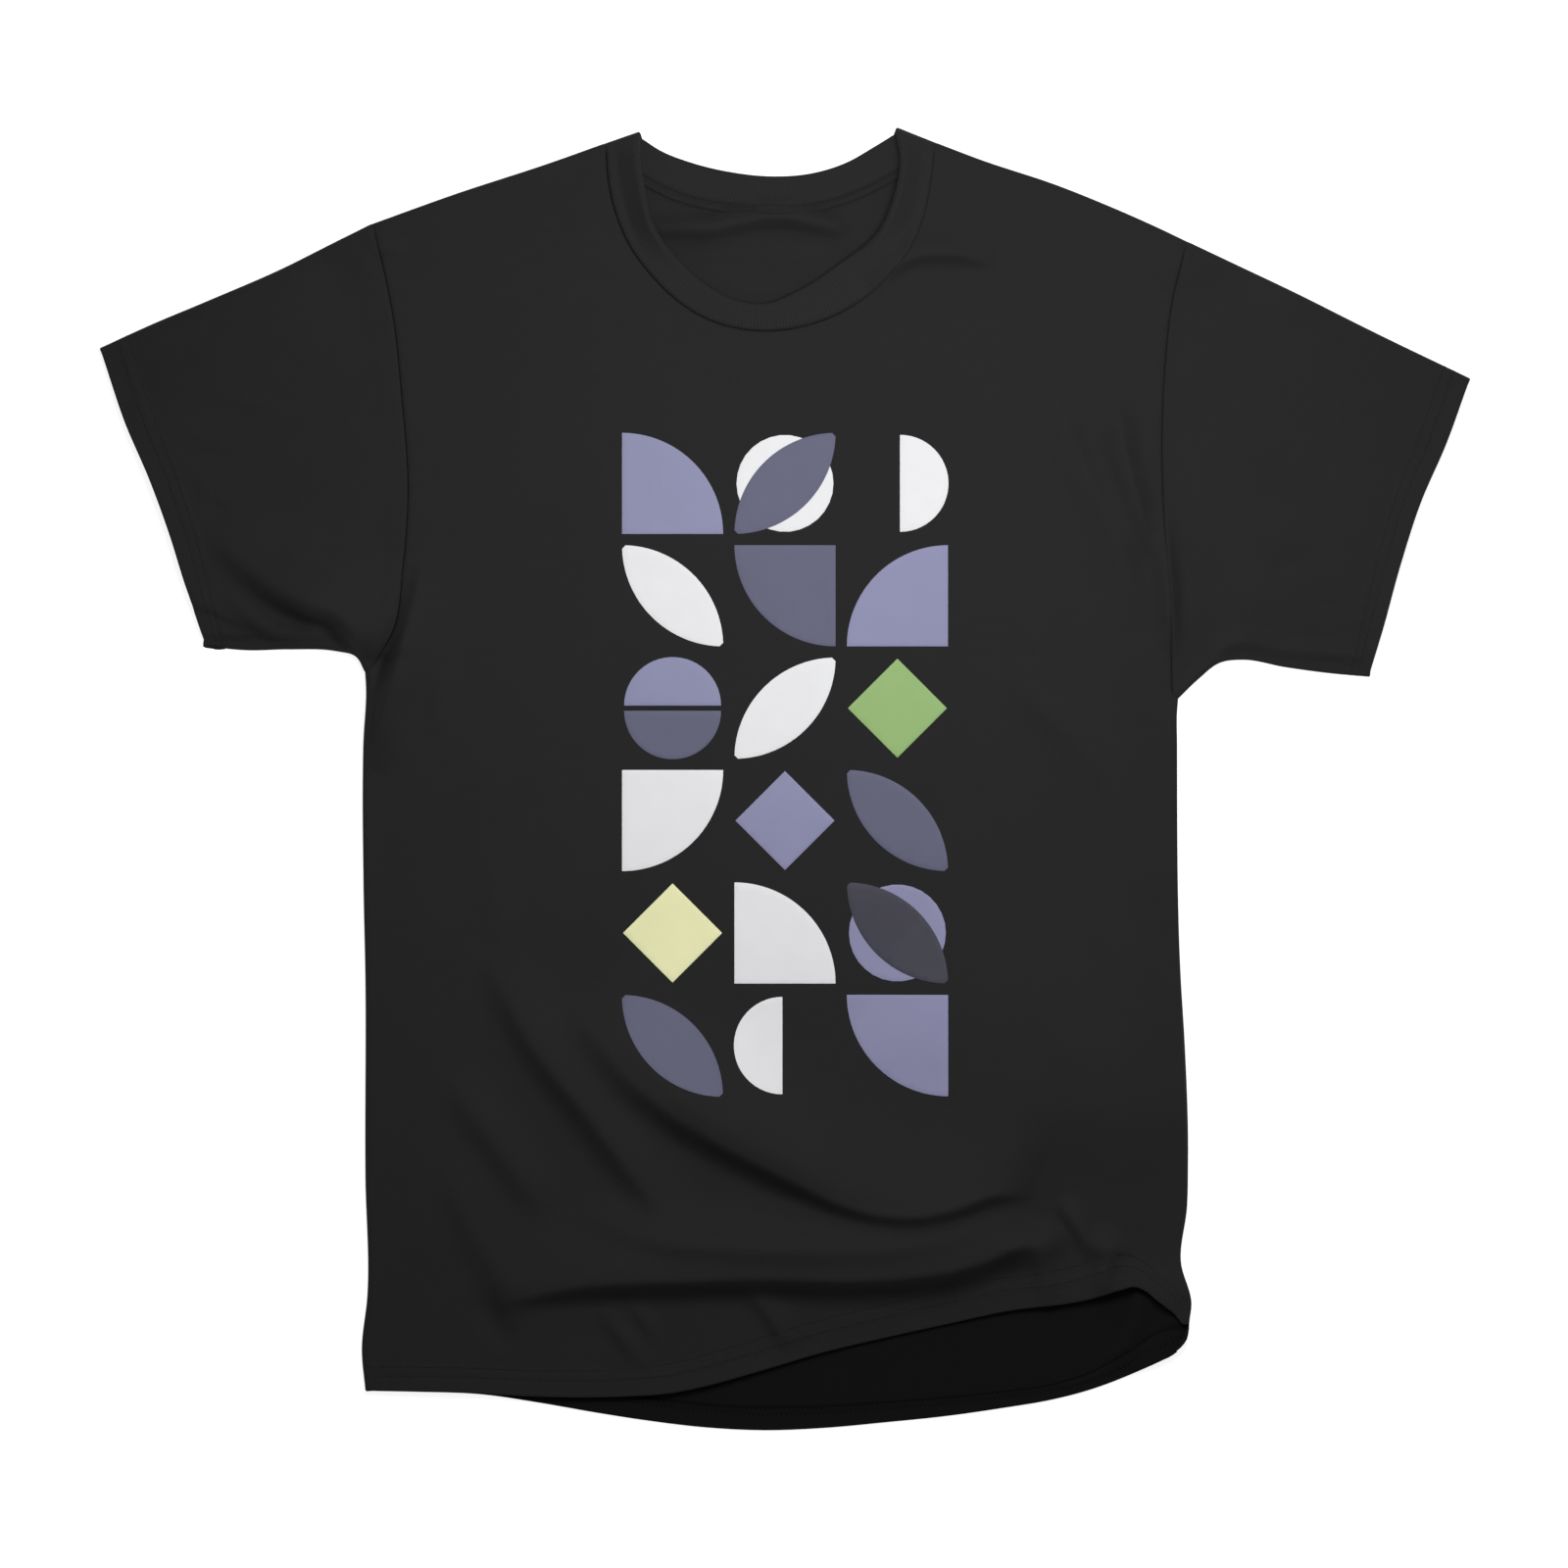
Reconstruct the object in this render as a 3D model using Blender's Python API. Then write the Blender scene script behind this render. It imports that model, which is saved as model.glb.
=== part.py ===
"""Short-sleeved crew-neck T-shirt in heavy cotton jersey, adult size S, lying on its back with loose folds.

Frame: the origin is on the surface that the shirt lies on, under the middle of it. +X is the wearer's left,
+Y points to the neck and +Z up. "left" and "right" in the names are the wearer's.

The shirt is a flattened tube. Its front layer is at front_height above the surface, its back layer lies on
the surface, and the two meet in a round fold along the shoulders, the sleeves and the sides. Plan points and
sizes in the tables are millimetres, and MM turns them into Blender's metres.
"""

import math

import bmesh
import bpy
import numpy as np
from mathutils import Vector
from mathutils.bvhtree import BVHTree

MM = 0.001

WALL = 1.0  # jersey, with the air in its knit
HEM_WALL = 2.1  # jersey turned up once
RIB_WALL = 2.0  # doubled rib of the neckband
LOFT = 7.4  # top of the front layer where it lies flat
FOLD = 3.7  # reach of a fold, seen from above
GAP = 0.3  # between two pieces that are sewn together
SEWN = 0.45  # the same gap in plan, at a seam that may run slanting
SPLIT = 0.5  # between the front and the back layer, halfway down a fold
CELL = 26.0  # spacing of the panels' facets
ROLL_CELL = 13.0  # the same up and down the part of the front with the large rolls
ROLLS_BELOW = -110.0  # where that part begins, below the chest
STATION = 18.0  # spacing of points along an outline
STITCH_STATION = 8.0  # the same along stitches that follow the facets

HEM_DEPTH = 14.0  # turned-up hem of the body
CUFF_DEPTH = 15.0  # turned-up hem of a sleeve
STEP = 1.0  # over which a hem's extra layer ends
MARGIN = 4.0  # a line parallel to a hem has no points nearer to its ends
STITCH_ROWS = (8.0, 13.0)  # from the edge of a hem to its two rows of stitches
THREAD_WIDTH = 0.9
THREAD_HEIGHT = 0.4
COVER_WIDTH = 6.5  # the looper threads that join the two rows inside
SEAM_WIDTH = 6.0  # sewing allowance, overlocked
SEAM_HEIGHT = 0.9
SEAM_END = 3.0  # a seam along a fold stops this short of whatever crosses it
LEFT_HEM_PEAK = 16.0  # how much further the hem at the lifted front reaches up the left side
TAPE_WIDTH = 6.5
TAPE_HEIGHT = 0.5
COLLAR_LIFT = 1.6  # rise of the neckband's free edge at the front

PRINT_SIZE = (198.0, 376.0)
PRINT_CENTRE = (0.0, 8.0)
PRINT_CORNER = 12.0
PRINT_HEIGHT = 0.2

JERSEY = ((0.020, 0.020, 0.022), 0.92)
RIB = ((0.018, 0.018, 0.020), 0.90)
THREAD = ((0.030, 0.030, 0.033), 0.65)
INK = ((0.045, 0.040, 0.110), 0.60)

# The outline, anticlockwise from above, in stretches between the corners where its pieces meet.
SIDE = {
    "left": [(226, -309), (227.7, -295), (222, -271), (225.5, -240), (226, -214), (224, -147), (222, -113),
             (220, 19), (220, 38)],
    "right": [(-235, 52), (-236.5, 19), (-236.5, -58), (-235.4, -113), (-235.4, -223), (-234.3, -290),
              (-237.4, -321), (-235.4, -343)],
}
UNDERARM = {
    "left": [(220.6, 45), (232, 56), (244, 65), (256, 66.5), (280, 62.4), (305, 59), (327.3, 57)],
    "right": [(-325.6, 74), (-301, 71.8), (-279, 72.3), (-250.8, 71.2), (-240.4, 68.5), (-235.5, 60)],
}
SLEEVE_TOP = {
    "left": [(383.9, 224.7), (325.6, 252.7), (287, 272), (226, 301)],
    "right": [(-232, 311), (-258, 298), (-279, 287.4), (-324.5, 267.6), (-356, 254.4), (-383.9, 241.7)],
}
SHOULDER = {
    "left": [(226, 301), (208.5, 309.4), (181, 321.5), (153.5, 332.5), (109.5, 347.3), (85.3, 356.5)],
    "right": [(-101.8, 356.1), (-132.6, 345.1), (-187.6, 327), (-232, 311)],
}
COLLAR_TOP = {"left": [(85.3, 356.5), (62.5, 364.9)], "right": [(-81.4, 362.7), (-101.8, 356.1)]}

# Seams and edges that cross the layers, each without its two end points, which lie on the folds.
ARMHOLE = {
    "left": [(216.5, 75), (216.3, 100), (212.5, 146), (211.4, 191), (213, 230), (216.7, 265)],
    "right": [(-225, 285), (-220, 260), (-215, 215), (-211.4, 160), (-214, 120), (-219, 84)],
}
CUFF = {
    "left": [(334, 82), (344.3, 120), (356, 156), (369.6, 187)],
    "right": [(-369, 199), (-356, 169), (-345, 139), (-335, 107)],
}
FRONT_NECK = [(82, 335), (76, 310), (63.3, 287), (43.5, 268.5), (15.4, 254.9), (-15.4, 251), (-37, 255),
              (-56, 264.5), (-75, 282), (-88, 300), (-96, 320), (-99.6, 338)]
FRONT_COLLAR = [(63.5, 348), (60, 326), (52.8, 308.8), (30.8, 289), (3.3, 272), (-9.4, 267), (-24.8, 268),
                (-37, 273), (-52.3, 284), (-65, 298), (-73.2, 311), (-78, 332), (-80.5, 350)]
BACK_NECK = [(-97, 345), (-81, 334), (-66, 326), (-46, 320), (-22, 317.5), (0, 317), (18, 318.5), (40, 325),
             (60.5, 335), (78, 346)]
BACK_COLLAR = [(-70, 352.5), (-52, 345.5), (-30, 340.3), (-8, 338), (14, 339.5), (34, 345.5), (50, 354.5)]
FRONT_HEM = [(-208, -343), (-170, -344), (-138, -345.7), (-90, -345.7), (-65, -344), (-43, -339.6),
             (-19, -333), (22, -321), (56, -313), (90, -305.5), (128, -297.5), (157, -294), (176, -290),
             (190, -286), (198, -284.8), (206, -290), (216, -299)]
BACK_HEM = [(-208, -343.3), (-170, -344.8), (-137.5, -349.5), (-106, -355), (-77.6, -359.4), (-44.6, -363.3),
            (-11.6, -364.9), (22, -363.6), (56, -360.5), (90, -357), (123, -352.3), (148.5, -348),
            (174, -341.8), (199, -332), (216, -321)]

# Soft rolls in the front layer: crest points (x, y, rise), then how far the rise spreads to the left and to
# the right of the crest line as it is travelled.
ROLLS = {
    "chest to hem": ([(-120, -128, 0), (-96, -159, 4), (-68, -185, 6.5), (-34, -208, 8), (8, -224, 9),
                      (46, -239, 9.5), (76, -241, 9), (108, -232, 7), (136, -228, 0)], 42, 8),
    "above the hem": ([(-152, -287, 0), (-114, -282, 7), (-60, -279, 11), (-10, -276, 14), (40, -278, 14),
                       (88, -274, 13), (118, -265, 9), (135, -253, 4), (146, -244, 0)], 30, 9),
    "right of the print": ([(-160, -106, 0), (-140, -150, 4), (-118, -180, 5), (-96, -210, 5), (-70, -238, 2),
                            (-58, -250, 0)], 26, 10),
    "right side": ([(-175, -185, 0), (-157, -213, 3), (-146, -236, 3), (-130, -256, 0)], 20, 10),
    "lifted hem": ([(-120, -346, 0), (-40, -338, 3), (22, -321, 6), (90, -305, 9), (145, -296, 12),
                    (178, -289, 14), (195, -285, 15), (210, -294, 8), (219, -301, 0)], 34, 60),
    "right armpit": ([(-203, 102, 0), (-209, 72, 4), (-217, 42, 4), (-226, 8, 0)], 12, 8),
    "left waist": ([(126, 54, 0), (150, 25, 3), (170, 2, 4), (182, -35, 4), (196, -80, 0)], 16, 9),
    "left chest": ([(146, 225, 0), (156, 195, 3), (170, 162, 3), (180, 136, 0)], 14, 10),
    "left of the neck": ([(60, 281, 0), (74, 293, 2.5), (90, 295, 2.5), (108, 290, 0)], 12, 8),
    "right armhole": ([(-227, 290, 0), (-220, 260, 2.4), (-215, 215, 2.4), (-211.4, 160, 2.4),
                       (-214, 120, 2.4), (-220, 82, 0)], 12, 12),
    "left armhole": ([(218, 60, 0), (216.3, 100, 2.4), (212.5, 146, 2.4), (211.4, 191, 2.4),
                      (213, 230, 2.4), (219, 280, 0)], 12, 12),
    "right sleeve": ([(-322, 152, 0), (-302, 125, 5), (-280, 112, 6), (-256, 105, 5), (-234, 98, 0)], 24, 9),
    "left sleeve": ([(246, 150, 0), (262, 118, 3), (285, 96, 4), (318, 84, 0)], 20, 14),
    "right cuff": ([(-376, 214, 0), (-364, 188, 3.5), (-350, 154, 4.5), (-338, 118, 3.5), (-330, 92, 0)], 40, 40),
    "left cuff": ([(333, 78, 0), (341, 108, 3.5), (352, 146, 4.5), (367, 182, 3.5), (378, 210, 0)], 40, 40),
}

# The same for the back layer, which otherwise lies flat.
BACK_ROLLS = {
    "left hem corner": ([(229, -225, 0), (228, -265, 2.5), (227, -295, 5), (225, -318, 6)], 28, 28),
}


# ------------------------------------------------------------------ curves in plan

def smooth(points, step=STATION):
    """Even points, about step apart, along the smooth curve through the given ones."""
    known = np.array(points, float)
    along = lengths(known)
    slope = np.gradient(known, along, axis=0)
    fine = np.linspace(0, along[-1], 30 * len(known))
    i = np.clip(np.searchsorted(along, fine, side="right") - 1, 0, len(known) - 2)
    span = (along[i + 1] - along[i])[:, None]
    q = (fine - along[i])[:, None] / span
    drawn = (
        known[i] * (1 + 2 * q) * (1 - q) ** 2
        + slope[i] * span * q * (1 - q) ** 2
        + known[i + 1] * q * q * (3 - 2 * q)
        - slope[i + 1] * span * q * q * (1 - q)
    )
    return resampled(drawn, max(2, round(lengths(drawn)[-1] / step) + 1))


def lengths(points):
    return np.concatenate([[0.0], np.cumsum(np.linalg.norm(np.diff(points, axis=0), axis=1))])


def resampled(points, count):
    """count points evenly along a polyline."""
    return at_lengths(points, np.linspace(0, lengths(points)[-1], count))


def at_lengths(points, where):
    along = lengths(points)
    return np.column_stack([np.interp(where, along, points[:, k]) for k in range(points.shape[1])])


def outward(points):
    """Unit normals on the right-hand side of the way a plan curve runs."""
    run = np.gradient(points, axis=0)
    normals = np.column_stack([run[:, 1], -run[:, 0]])
    return normals / np.linalg.norm(normals, axis=1)[:, None]


class Edge:
    """A folded edge of the shirt: the line where its fold starts, and the way it bulges from there."""

    def __init__(self, points, out=None):
        self.out = outward(points) if out is None else out
        self.base = points - FOLD * self.out

    def part(self, begin, end):
        cut = Edge.__new__(Edge)
        cut.base, cut.out = self.base[begin:end], self.out[begin:end]
        return cut

    def turned(self):
        cut = Edge.__new__(Edge)
        cut.base, cut.out = self.base[::-1], self.out[::-1]
        return cut

    def at(self, where):
        """The edge at the given distances from its first point."""
        cut = Edge.__new__(Edge)
        along = lengths(self.base)
        cut.base = at_lengths(self.base, where)
        cut.out = np.column_stack([np.interp(where, along, self.out[:, k]) for k in range(2)])
        cut.out = cut.out / np.linalg.norm(cut.out, axis=1)[:, None]
        return cut

    def length(self):
        return lengths(self.base)[-1]

    def stretch(self, begin, end):
        """The edge between two distances, at its own points."""
        along = lengths(self.base)
        inside = along[(along > begin + MARGIN) & (along < end - MARGIN)]
        return self.at(np.concatenate([[begin], inside, [end]]))


def joined_edges(*stretches):
    """Edges along one smooth outline, split again at the corners that its stretches share."""
    drawn = [smooth(points) for points in stretches]
    whole = np.concatenate([drawn[0]] + [d[1:] for d in drawn[1:]])
    run = Edge(whole)
    edges, begin = [], 0
    for d in drawn:
        edges.append(run.part(begin, begin + len(d)))
        begin += len(d) - 1
    return edges


def between(edge_a, middle, edge_b):
    """A seam or hem from the end of one edge's base to the start of the next one's."""
    return smooth([tuple(edge_a.base[-1]), *middle, tuple(edge_b.base[0])])


# ------------------------------------------------------------------ heights

def rise(xy, crest, left, right):
    """How far one soft roll lifts the front layer at plan points."""
    line = smooth(crest, 6.0)
    a, b = line[:-1], line[1:]
    run = b[:, :2] - a[:, :2]
    best = np.full(len(xy), np.inf)
    found = np.zeros(len(xy))
    for k in range(len(a)):
        off = xy - a[k, :2]
        q = np.clip(off @ run[k] / (run[k] @ run[k]), 0, 1)
        away = off - q[:, None] * run[k]
        far = np.linalg.norm(away, axis=1)
        side = run[k, 0] * away[:, 1] - run[k, 1] * away[:, 0]
        spread = np.where(side > 0, left, right)
        lift = (a[k, 2] + q * (b[k, 2] - a[k, 2])) * np.exp(-((far / spread) ** 2))
        nearer = far < best
        best = np.where(nearer, far, best)
        found = np.where(nearer, lift, found)
    return found


def back_height(xy):
    """Underside of the back layer at plan points."""
    return sum(rise(xy, *roll) for roll in BACK_ROLLS.values())


def front_height(xy):
    """Top of the front layer at plan points."""
    return back_height(xy) + LOFT + sum(rise(xy, *roll) for roll in ROLLS.values())


def middle_height(xy):
    """Height of the outermost line of the fold that starts at plan points."""
    return (front_height(xy) + back_height(xy)) / 2


def layer(spots, front, depth):
    """Points depth below the outer face of the front or back layer.

    A spot is (x, y, out x, out y, angle): where the fold starts or a point of the flat, the way out, and the
    angle turned through round the fold, 0 on the flat and 90 degrees at the outermost line.
    """
    xy, out, angle = spots[:, :2], spots[:, 2:4], spots[:, 4]
    reach = (FOLD - depth) * np.sin(angle)
    if front:
        middle = middle_height(xy) + SPLIT / 2
        z = middle + (front_height(xy) - depth - middle) * np.cos(angle)
    else:
        middle = middle_height(xy) - SPLIT / 2
        z = middle - (middle - back_height(xy) - depth) * np.cos(angle)
    return np.column_stack([xy + out * reach[:, None], z])


# ------------------------------------------------------------------ solids

def material(name, look):
    """The named material, made once, of a (colour, roughness) look."""
    made = bpy.data.materials.get(name)
    if made is None:
        made = bpy.data.materials.new(name)
        made.use_nodes = True
        shader = made.node_tree.nodes["Principled BSDF"]
        shader.inputs["Base Color"].default_value = (*look[0], 1.0)
        shader.inputs["Roughness"].default_value = look[1]
        shader.inputs["Metallic"].default_value = 0.0
    return made


def add_solid(name, points, faces, finish):
    """An object from points in millimetres and faces, its normals turned outwards."""
    mesh = bpy.data.meshes.new(name)
    mesh.from_pydata([tuple(p * MM) for p in np.asarray(points)], [], faces)
    bm = bmesh.new()
    bm.from_mesh(mesh)
    bmesh.ops.recalc_face_normals(bm, faces=bm.faces[:])
    if bm.calc_volume(signed=True) < 0:
        bmesh.ops.reverse_faces(bm, faces=bm.faces[:])
    bm.to_mesh(mesh)
    bm.free()
    mesh.shade_smooth()
    mesh.set_sharp_from_angle(angle=math.radians(50))
    mesh.materials.append(finish)
    made = bpy.data.objects.new(name, mesh)
    bpy.context.scene.collection.objects.link(made)
    return made


def add_shell(name, outer, inner, faces, finish):
    """A wall between two faces that share their facets, closed along its rim."""
    count = len(outer)
    once = {}
    for face in faces:
        for a, b in zip(face, face[1:] + face[:1]):
            if (b, a) in once:
                del once[(b, a)]
            else:
                once[(a, b)] = True
    backs = [[i + count for i in reversed(face)] for face in faces]
    rims = [[b, a, a + count, b + count] for a, b in once]
    return add_solid(name, np.concatenate([outer, inner]), faces + backs + rims, finish)


def add_sweep(name, sections, finish, closed=False):
    """A solid through cross-sections of equal point counts, with flat ends or joined into a ring."""
    count, around = len(sections), len(sections[0])
    faces = []
    for i in range(count if closed else count - 1):
        j = (i + 1) % count
        for k in range(around):
            n = (k + 1) % around
            faces.append([i * around + k, i * around + n, j * around + n, j * around + k])
    if not closed:
        faces.append(list(range(around))[::-1])
        faces.append([(count - 1) * around + k for k in range(around)])
    return add_solid(name, np.concatenate(sections), faces, finish)


# ------------------------------------------------------------------ body panels

class Plan:
    """A flat outline cut into square facets, with folds added along its marked edges."""

    def __init__(self):
        self.bm = bmesh.new()
        self.mark = self.bm.verts.layers.float.new("folded")
        self.way = self.bm.verts.layers.float_vector.new("outward")

    def face(self, stretches):
        """A face round stretches that follow each other, each an Edge or an array of plan points."""
        ring = []
        for stretch in stretches:
            folded = isinstance(stretch, Edge)
            points = stretch.base if folded else stretch
            ways = stretch.out if folded else np.zeros_like(points)
            for (x, y), (u, v) in zip(points, ways):
                if ring and math.dist(ring[-1][:2], (x, y)) < 1e-6:
                    if folded:
                        ring[-1] = (x, y, u, v, 1.0)
                else:
                    ring.append((x, y, u, v, float(folded)))
        if math.dist(ring[0][:2], ring[-1][:2]) < 1e-6:
            last = ring.pop()
            if last[4]:
                ring[0] = last
        made = []
        for x, y, u, v, folded in ring:
            vert = self.bm.verts.new((x, y, 0))
            vert[self.mark] = folded
            vert[self.way] = (u, v, 0)
            made.append(vert)
        self.bm.faces.new(made)

    def cut(self, across, up):
        """Joins the faces and cuts them at the given x and y."""
        bmesh.ops.remove_doubles(self.bm, verts=self.bm.verts[:], dist=0.01)
        for axis, cuts in enumerate((across, up)):
            for cut in cuts:
                place, normal = [0.0, 0.0, 0.0], [0.0, 0.0, 0.0]
                place[axis], normal[axis] = cut, 1.0
                everything = self.bm.verts[:] + self.bm.edges[:] + self.bm.faces[:]
                bmesh.ops.bisect_plane(self.bm, geom=everything, dist=0.4, plane_co=place, plane_no=normal)
        bmesh.ops.triangulate(self.bm, faces=self.bm.faces[:])

    def read(self, turns=2):
        """Spots and faces, with each folded boundary carried round a quarter turn in steps."""
        self.bm.verts.index_update()
        spots = []
        for v in self.bm.verts:
            way = Vector(v[self.way])
            way = way.normalized() if v[self.mark] > 0.999 else Vector((0, 0, 0))
            spots.append((v.co.x, v.co.y, way.x, way.y, 0.0))
        faces = [[v.index for v in f.verts] for f in self.bm.faces]
        copies = {}

        def turned(vert, turn):
            if turn == 0:
                return vert.index
            if (vert.index, turn) not in copies:
                copies[vert.index, turn] = len(spots)
                x, y, u, v, _ = spots[vert.index]
                spots.append((x, y, u, v, math.pi / 2 * turn / turns))
            return copies[vert.index, turn]

        for edge in self.bm.edges:
            if edge.is_boundary and all(v[self.mark] > 0.999 for v in edge.verts):
                loop = edge.link_loops[0]
                a, b = loop.vert, loop.link_loop_next.vert
                for turn in range(turns):
                    faces.append([turned(b, turn), turned(a, turn), turned(a, turn + 1), turned(b, turn + 1)])
        self.bm.free()
        return np.array(spots), faces


def hem_lines(hem, side_right, side_left, depths):
    """Lines parallel to a hem that runs from the right side to the left one."""
    lines = []
    for depth in depths:
        middle = hem - depth * outward(hem)
        first, last = side_right.at([side_right.length() - depth]).base, side_left.at([depth]).base
        inside = (middle[:, 0] > first[0, 0] + MARGIN) & (middle[:, 0] < last[0, 0] - MARGIN)
        lines.append(np.concatenate([first, middle[inside], last]))
    return lines


def add_panel(name, front, hem, neck, sides, armholes, shoulders, finish):
    """The front or back panel: a sheet with its turned-up hem, a wall thick.

    It returns the object, the spots and the faces of its outer side.
    """
    right, left = sides
    upper, lower = hem_lines(hem, right, left, (HEM_DEPTH + STEP, HEM_DEPTH))
    plan = Plan()
    hem_top = HEM_DEPTH + STEP
    high_left = left.stretch(hem_top, left.length())
    high_right = right.stretch(0.0, right.length() - hem_top)
    plan.face([high_left, armholes[1], shoulders[1], neck, shoulders[0], armholes[0], high_right, upper])
    step_left = left.at([HEM_DEPTH, hem_top])
    step_right = right.at([right.length() - hem_top, right.length() - HEM_DEPTH])
    plan.face([step_left, upper[::-1], step_right, lower])
    hem_left, hem_right = left.at([0.0, HEM_DEPTH]), right.at([right.length() - HEM_DEPTH, right.length()])
    plan.face([hem_left, lower[::-1], hem_right, hem])
    across, up = np.arange(-230, 230, CELL), np.arange(ROLLS_BELOW, 340, CELL)
    if front:
        plan.cut(across, np.concatenate([np.arange(ROLLS_BELOW, hem.min(), -ROLL_CELL), up]))
    else:
        plan.cut(across[::3], np.arange(hem.min(), 340, 3 * CELL))
    spots, faces = plan.read()
    from_hem = distance(spots[:, :2], hem)
    wall = np.where(from_hem < HEM_DEPTH + STEP / 2, HEM_WALL, WALL)
    outer = layer(spots, front, np.zeros(len(spots)))
    inner = layer(spots, front, wall)
    return add_shell(name, outer, inner, faces, finish), spots, faces


def distance(xy, line):
    """Distance in plan from points to a polyline."""
    best = np.full(len(xy), np.inf)
    for a, b in zip(line[:-1], line[1:]):
        run = b - a
        off = xy - a
        q = np.clip(off @ run / (run @ run), 0, 1)
        best = np.minimum(best, np.linalg.norm(off - q[:, None] * run, axis=1))
    return best


# ------------------------------------------------------------------ rings round the flattened tube

def ring_spots(top, begin_out, end_out, turns=4):
    """Spots on one layer along a plan line, from halfway down one fold to halfway down the other.

    begin_out and end_out are the ways out of the folds at the line's two ends.
    """
    quarter = [math.pi / 2 * k / (turns // 2) for k in range(turns // 2, 0, -1)]
    flat = [(x, y, 0.0, 0.0, 0.0) for x, y in top]
    first = [(*top[0], *begin_out, angle) for angle in quarter]
    last = [(*top[-1], *end_out, angle) for angle in reversed(quarter)]
    return np.array(first + flat + last)


def around(top, bottom, begin_out, end_out, depth):
    """Points once round the tube, depth below its outer face: over the front along one plan line, then back
    along the other on the back layer. Each half starts and ends halfway down a fold."""
    front = layer(ring_spots(top, begin_out, end_out), True, depth)
    back = layer(ring_spots(bottom, begin_out, end_out), False, depth)
    return front, back[::-1]


class SleevePlan:
    """Where the lines round a sleeve run, from its armhole, share 0, to its cuff, share 1.

    armhole and cuff go from the underarm fold to the fold on top; the two edges go from armhole to cuff.
    """

    def __init__(self, armhole, cuff, under_edge, top_edge, way):
        self.armhole, self.cuff = armhole, resampled(cuff, len(armhole))
        self.under, self.top = under_edge, top_edge
        self.sewn = np.array([way * SEWN, 0.0])
        self.reach = (under_edge.length() + top_edge.length()) / 2
        self.hem_begins = 1 - CUFF_DEPTH / self.reach
        body = np.linspace((SEAM_WIDTH + GAP) / self.reach, self.hem_begins - STEP / self.reach, 7)
        self.shares = np.array([0.0, *body, self.hem_begins, 1.0])

    def line(self, share):
        """The plan line across the sleeve, and the ways out of the folds at its two ends."""
        under, top = self.under.at([share * self.under.length()]), self.top.at([share * self.top.length()])
        line = self.armhole * (1 - share) + self.cuff * share
        across = np.linspace(0, 1, len(line))[:, None]
        line = line + (1 - across) * (under.base[0] - line[0]) + across * (top.base[0] - line[-1])
        return line + self.sewn * (1 - share), under.out[0], top.out[0]

    def ring(self, share, depth):
        """Points round the sleeve as one open loop, from the underarm fold over the front and back to it."""
        line, under_out, top_out = self.line(share)
        front, back = around(line, line, under_out, top_out, depth)
        joint = (front[-1:] + back[:1]) / 2
        return np.concatenate([front[:-1], joint, back[1:]])


def add_sleeve(side, plan, finish):
    """A sleeve: a flattened tube, open at the armhole and the cuff, and slit where its underarm is sewn."""
    outer = [plan.ring(share, 0.0) for share in plan.shares]
    inner = [plan.ring(share, HEM_WALL if share >= plan.hem_begins else WALL) for share in plan.shares]
    width = len(outer[0])
    faces = [
        [i * width + k, i * width + k + 1, (i + 1) * width + k + 1, (i + 1) * width + k]
        for i in range(len(plan.shares) - 1)
        for k in range(width - 1)
    ]
    return add_shell(f"{side}_sleeve", np.concatenate(outer), np.concatenate(inner), faces, finish)


def collar_ring(neck, edge, folds, share, depth):
    """Points round the neckband, share of the way from its seam to its free edge."""
    lines = [
        seam * (1 - share) + resampled(free, len(seam)) * share for seam, free in zip(neck, edge)
    ]
    outs = [fold.out[0] * (1 - share) + fold.out[-1] * share for fold in folds]
    front, back = around(*lines, *outs, depth)
    front[:, 2] += COLLAR_LIFT * share**2 * np.sin(np.linspace(0, math.pi, len(front)))
    return np.concatenate([front, back])


def add_neckband(neck, edge, folds, finish):
    """The ribbed neckband: a ring, from its seam across to its free edge."""
    shares = (0.0, 0.35, 0.7, 1.0)
    outer = [collar_ring(neck, edge, folds, share, 0.0) for share in shares]
    inner = [collar_ring(neck, edge, folds, share, RIB_WALL) for share in shares]
    width = len(outer[0])
    faces = [
        [i * width + k, i * width + (k + 1) % width, (i + 1) * width + (k + 1) % width, (i + 1) * width + k]
        for i in range(len(shares) - 1)
        for k in range(width)
    ]
    return add_shell("neckband", np.concatenate(outer), np.concatenate(inner), faces, finish)


# ------------------------------------------------------------------ seams, tape and stitches

def add_band(name, near, far, finish, closed=False):
    """A flat band between two rims, each a pair of lines: its outer face's and its inner face's."""
    rims = zip(near[0], far[0], far[1], near[1])
    return add_sweep(name, [np.array(corners) for corners in rims], finish, closed)


def add_armhole_seam(side, plan, finish):
    """The overlocked allowance of an armhole: a flat ring inside the sleeve, slit at the underarm."""
    depths = WALL + GAP, WALL + GAP + SEAM_HEIGHT
    near, far = ([plan.ring(reach / plan.reach, depth) for depth in depths] for reach in (GAP, SEAM_WIDTH))
    return add_band(f"{side}_armhole_seam", near, far, finish)


def add_neck_seam(neck, edge, folds, finish):
    """The allowance of the neck seam: a flat ring inside the neckband's sewn edge."""
    depths = RIB_WALL + SEWN, RIB_WALL + SEWN + SEAM_HEIGHT
    near, far = ([collar_ring(neck, edge, folds, share, depth) for depth in depths] for share in (0.02, 0.26))
    return add_band("neck_seam", near, far, finish, closed=True)


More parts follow.
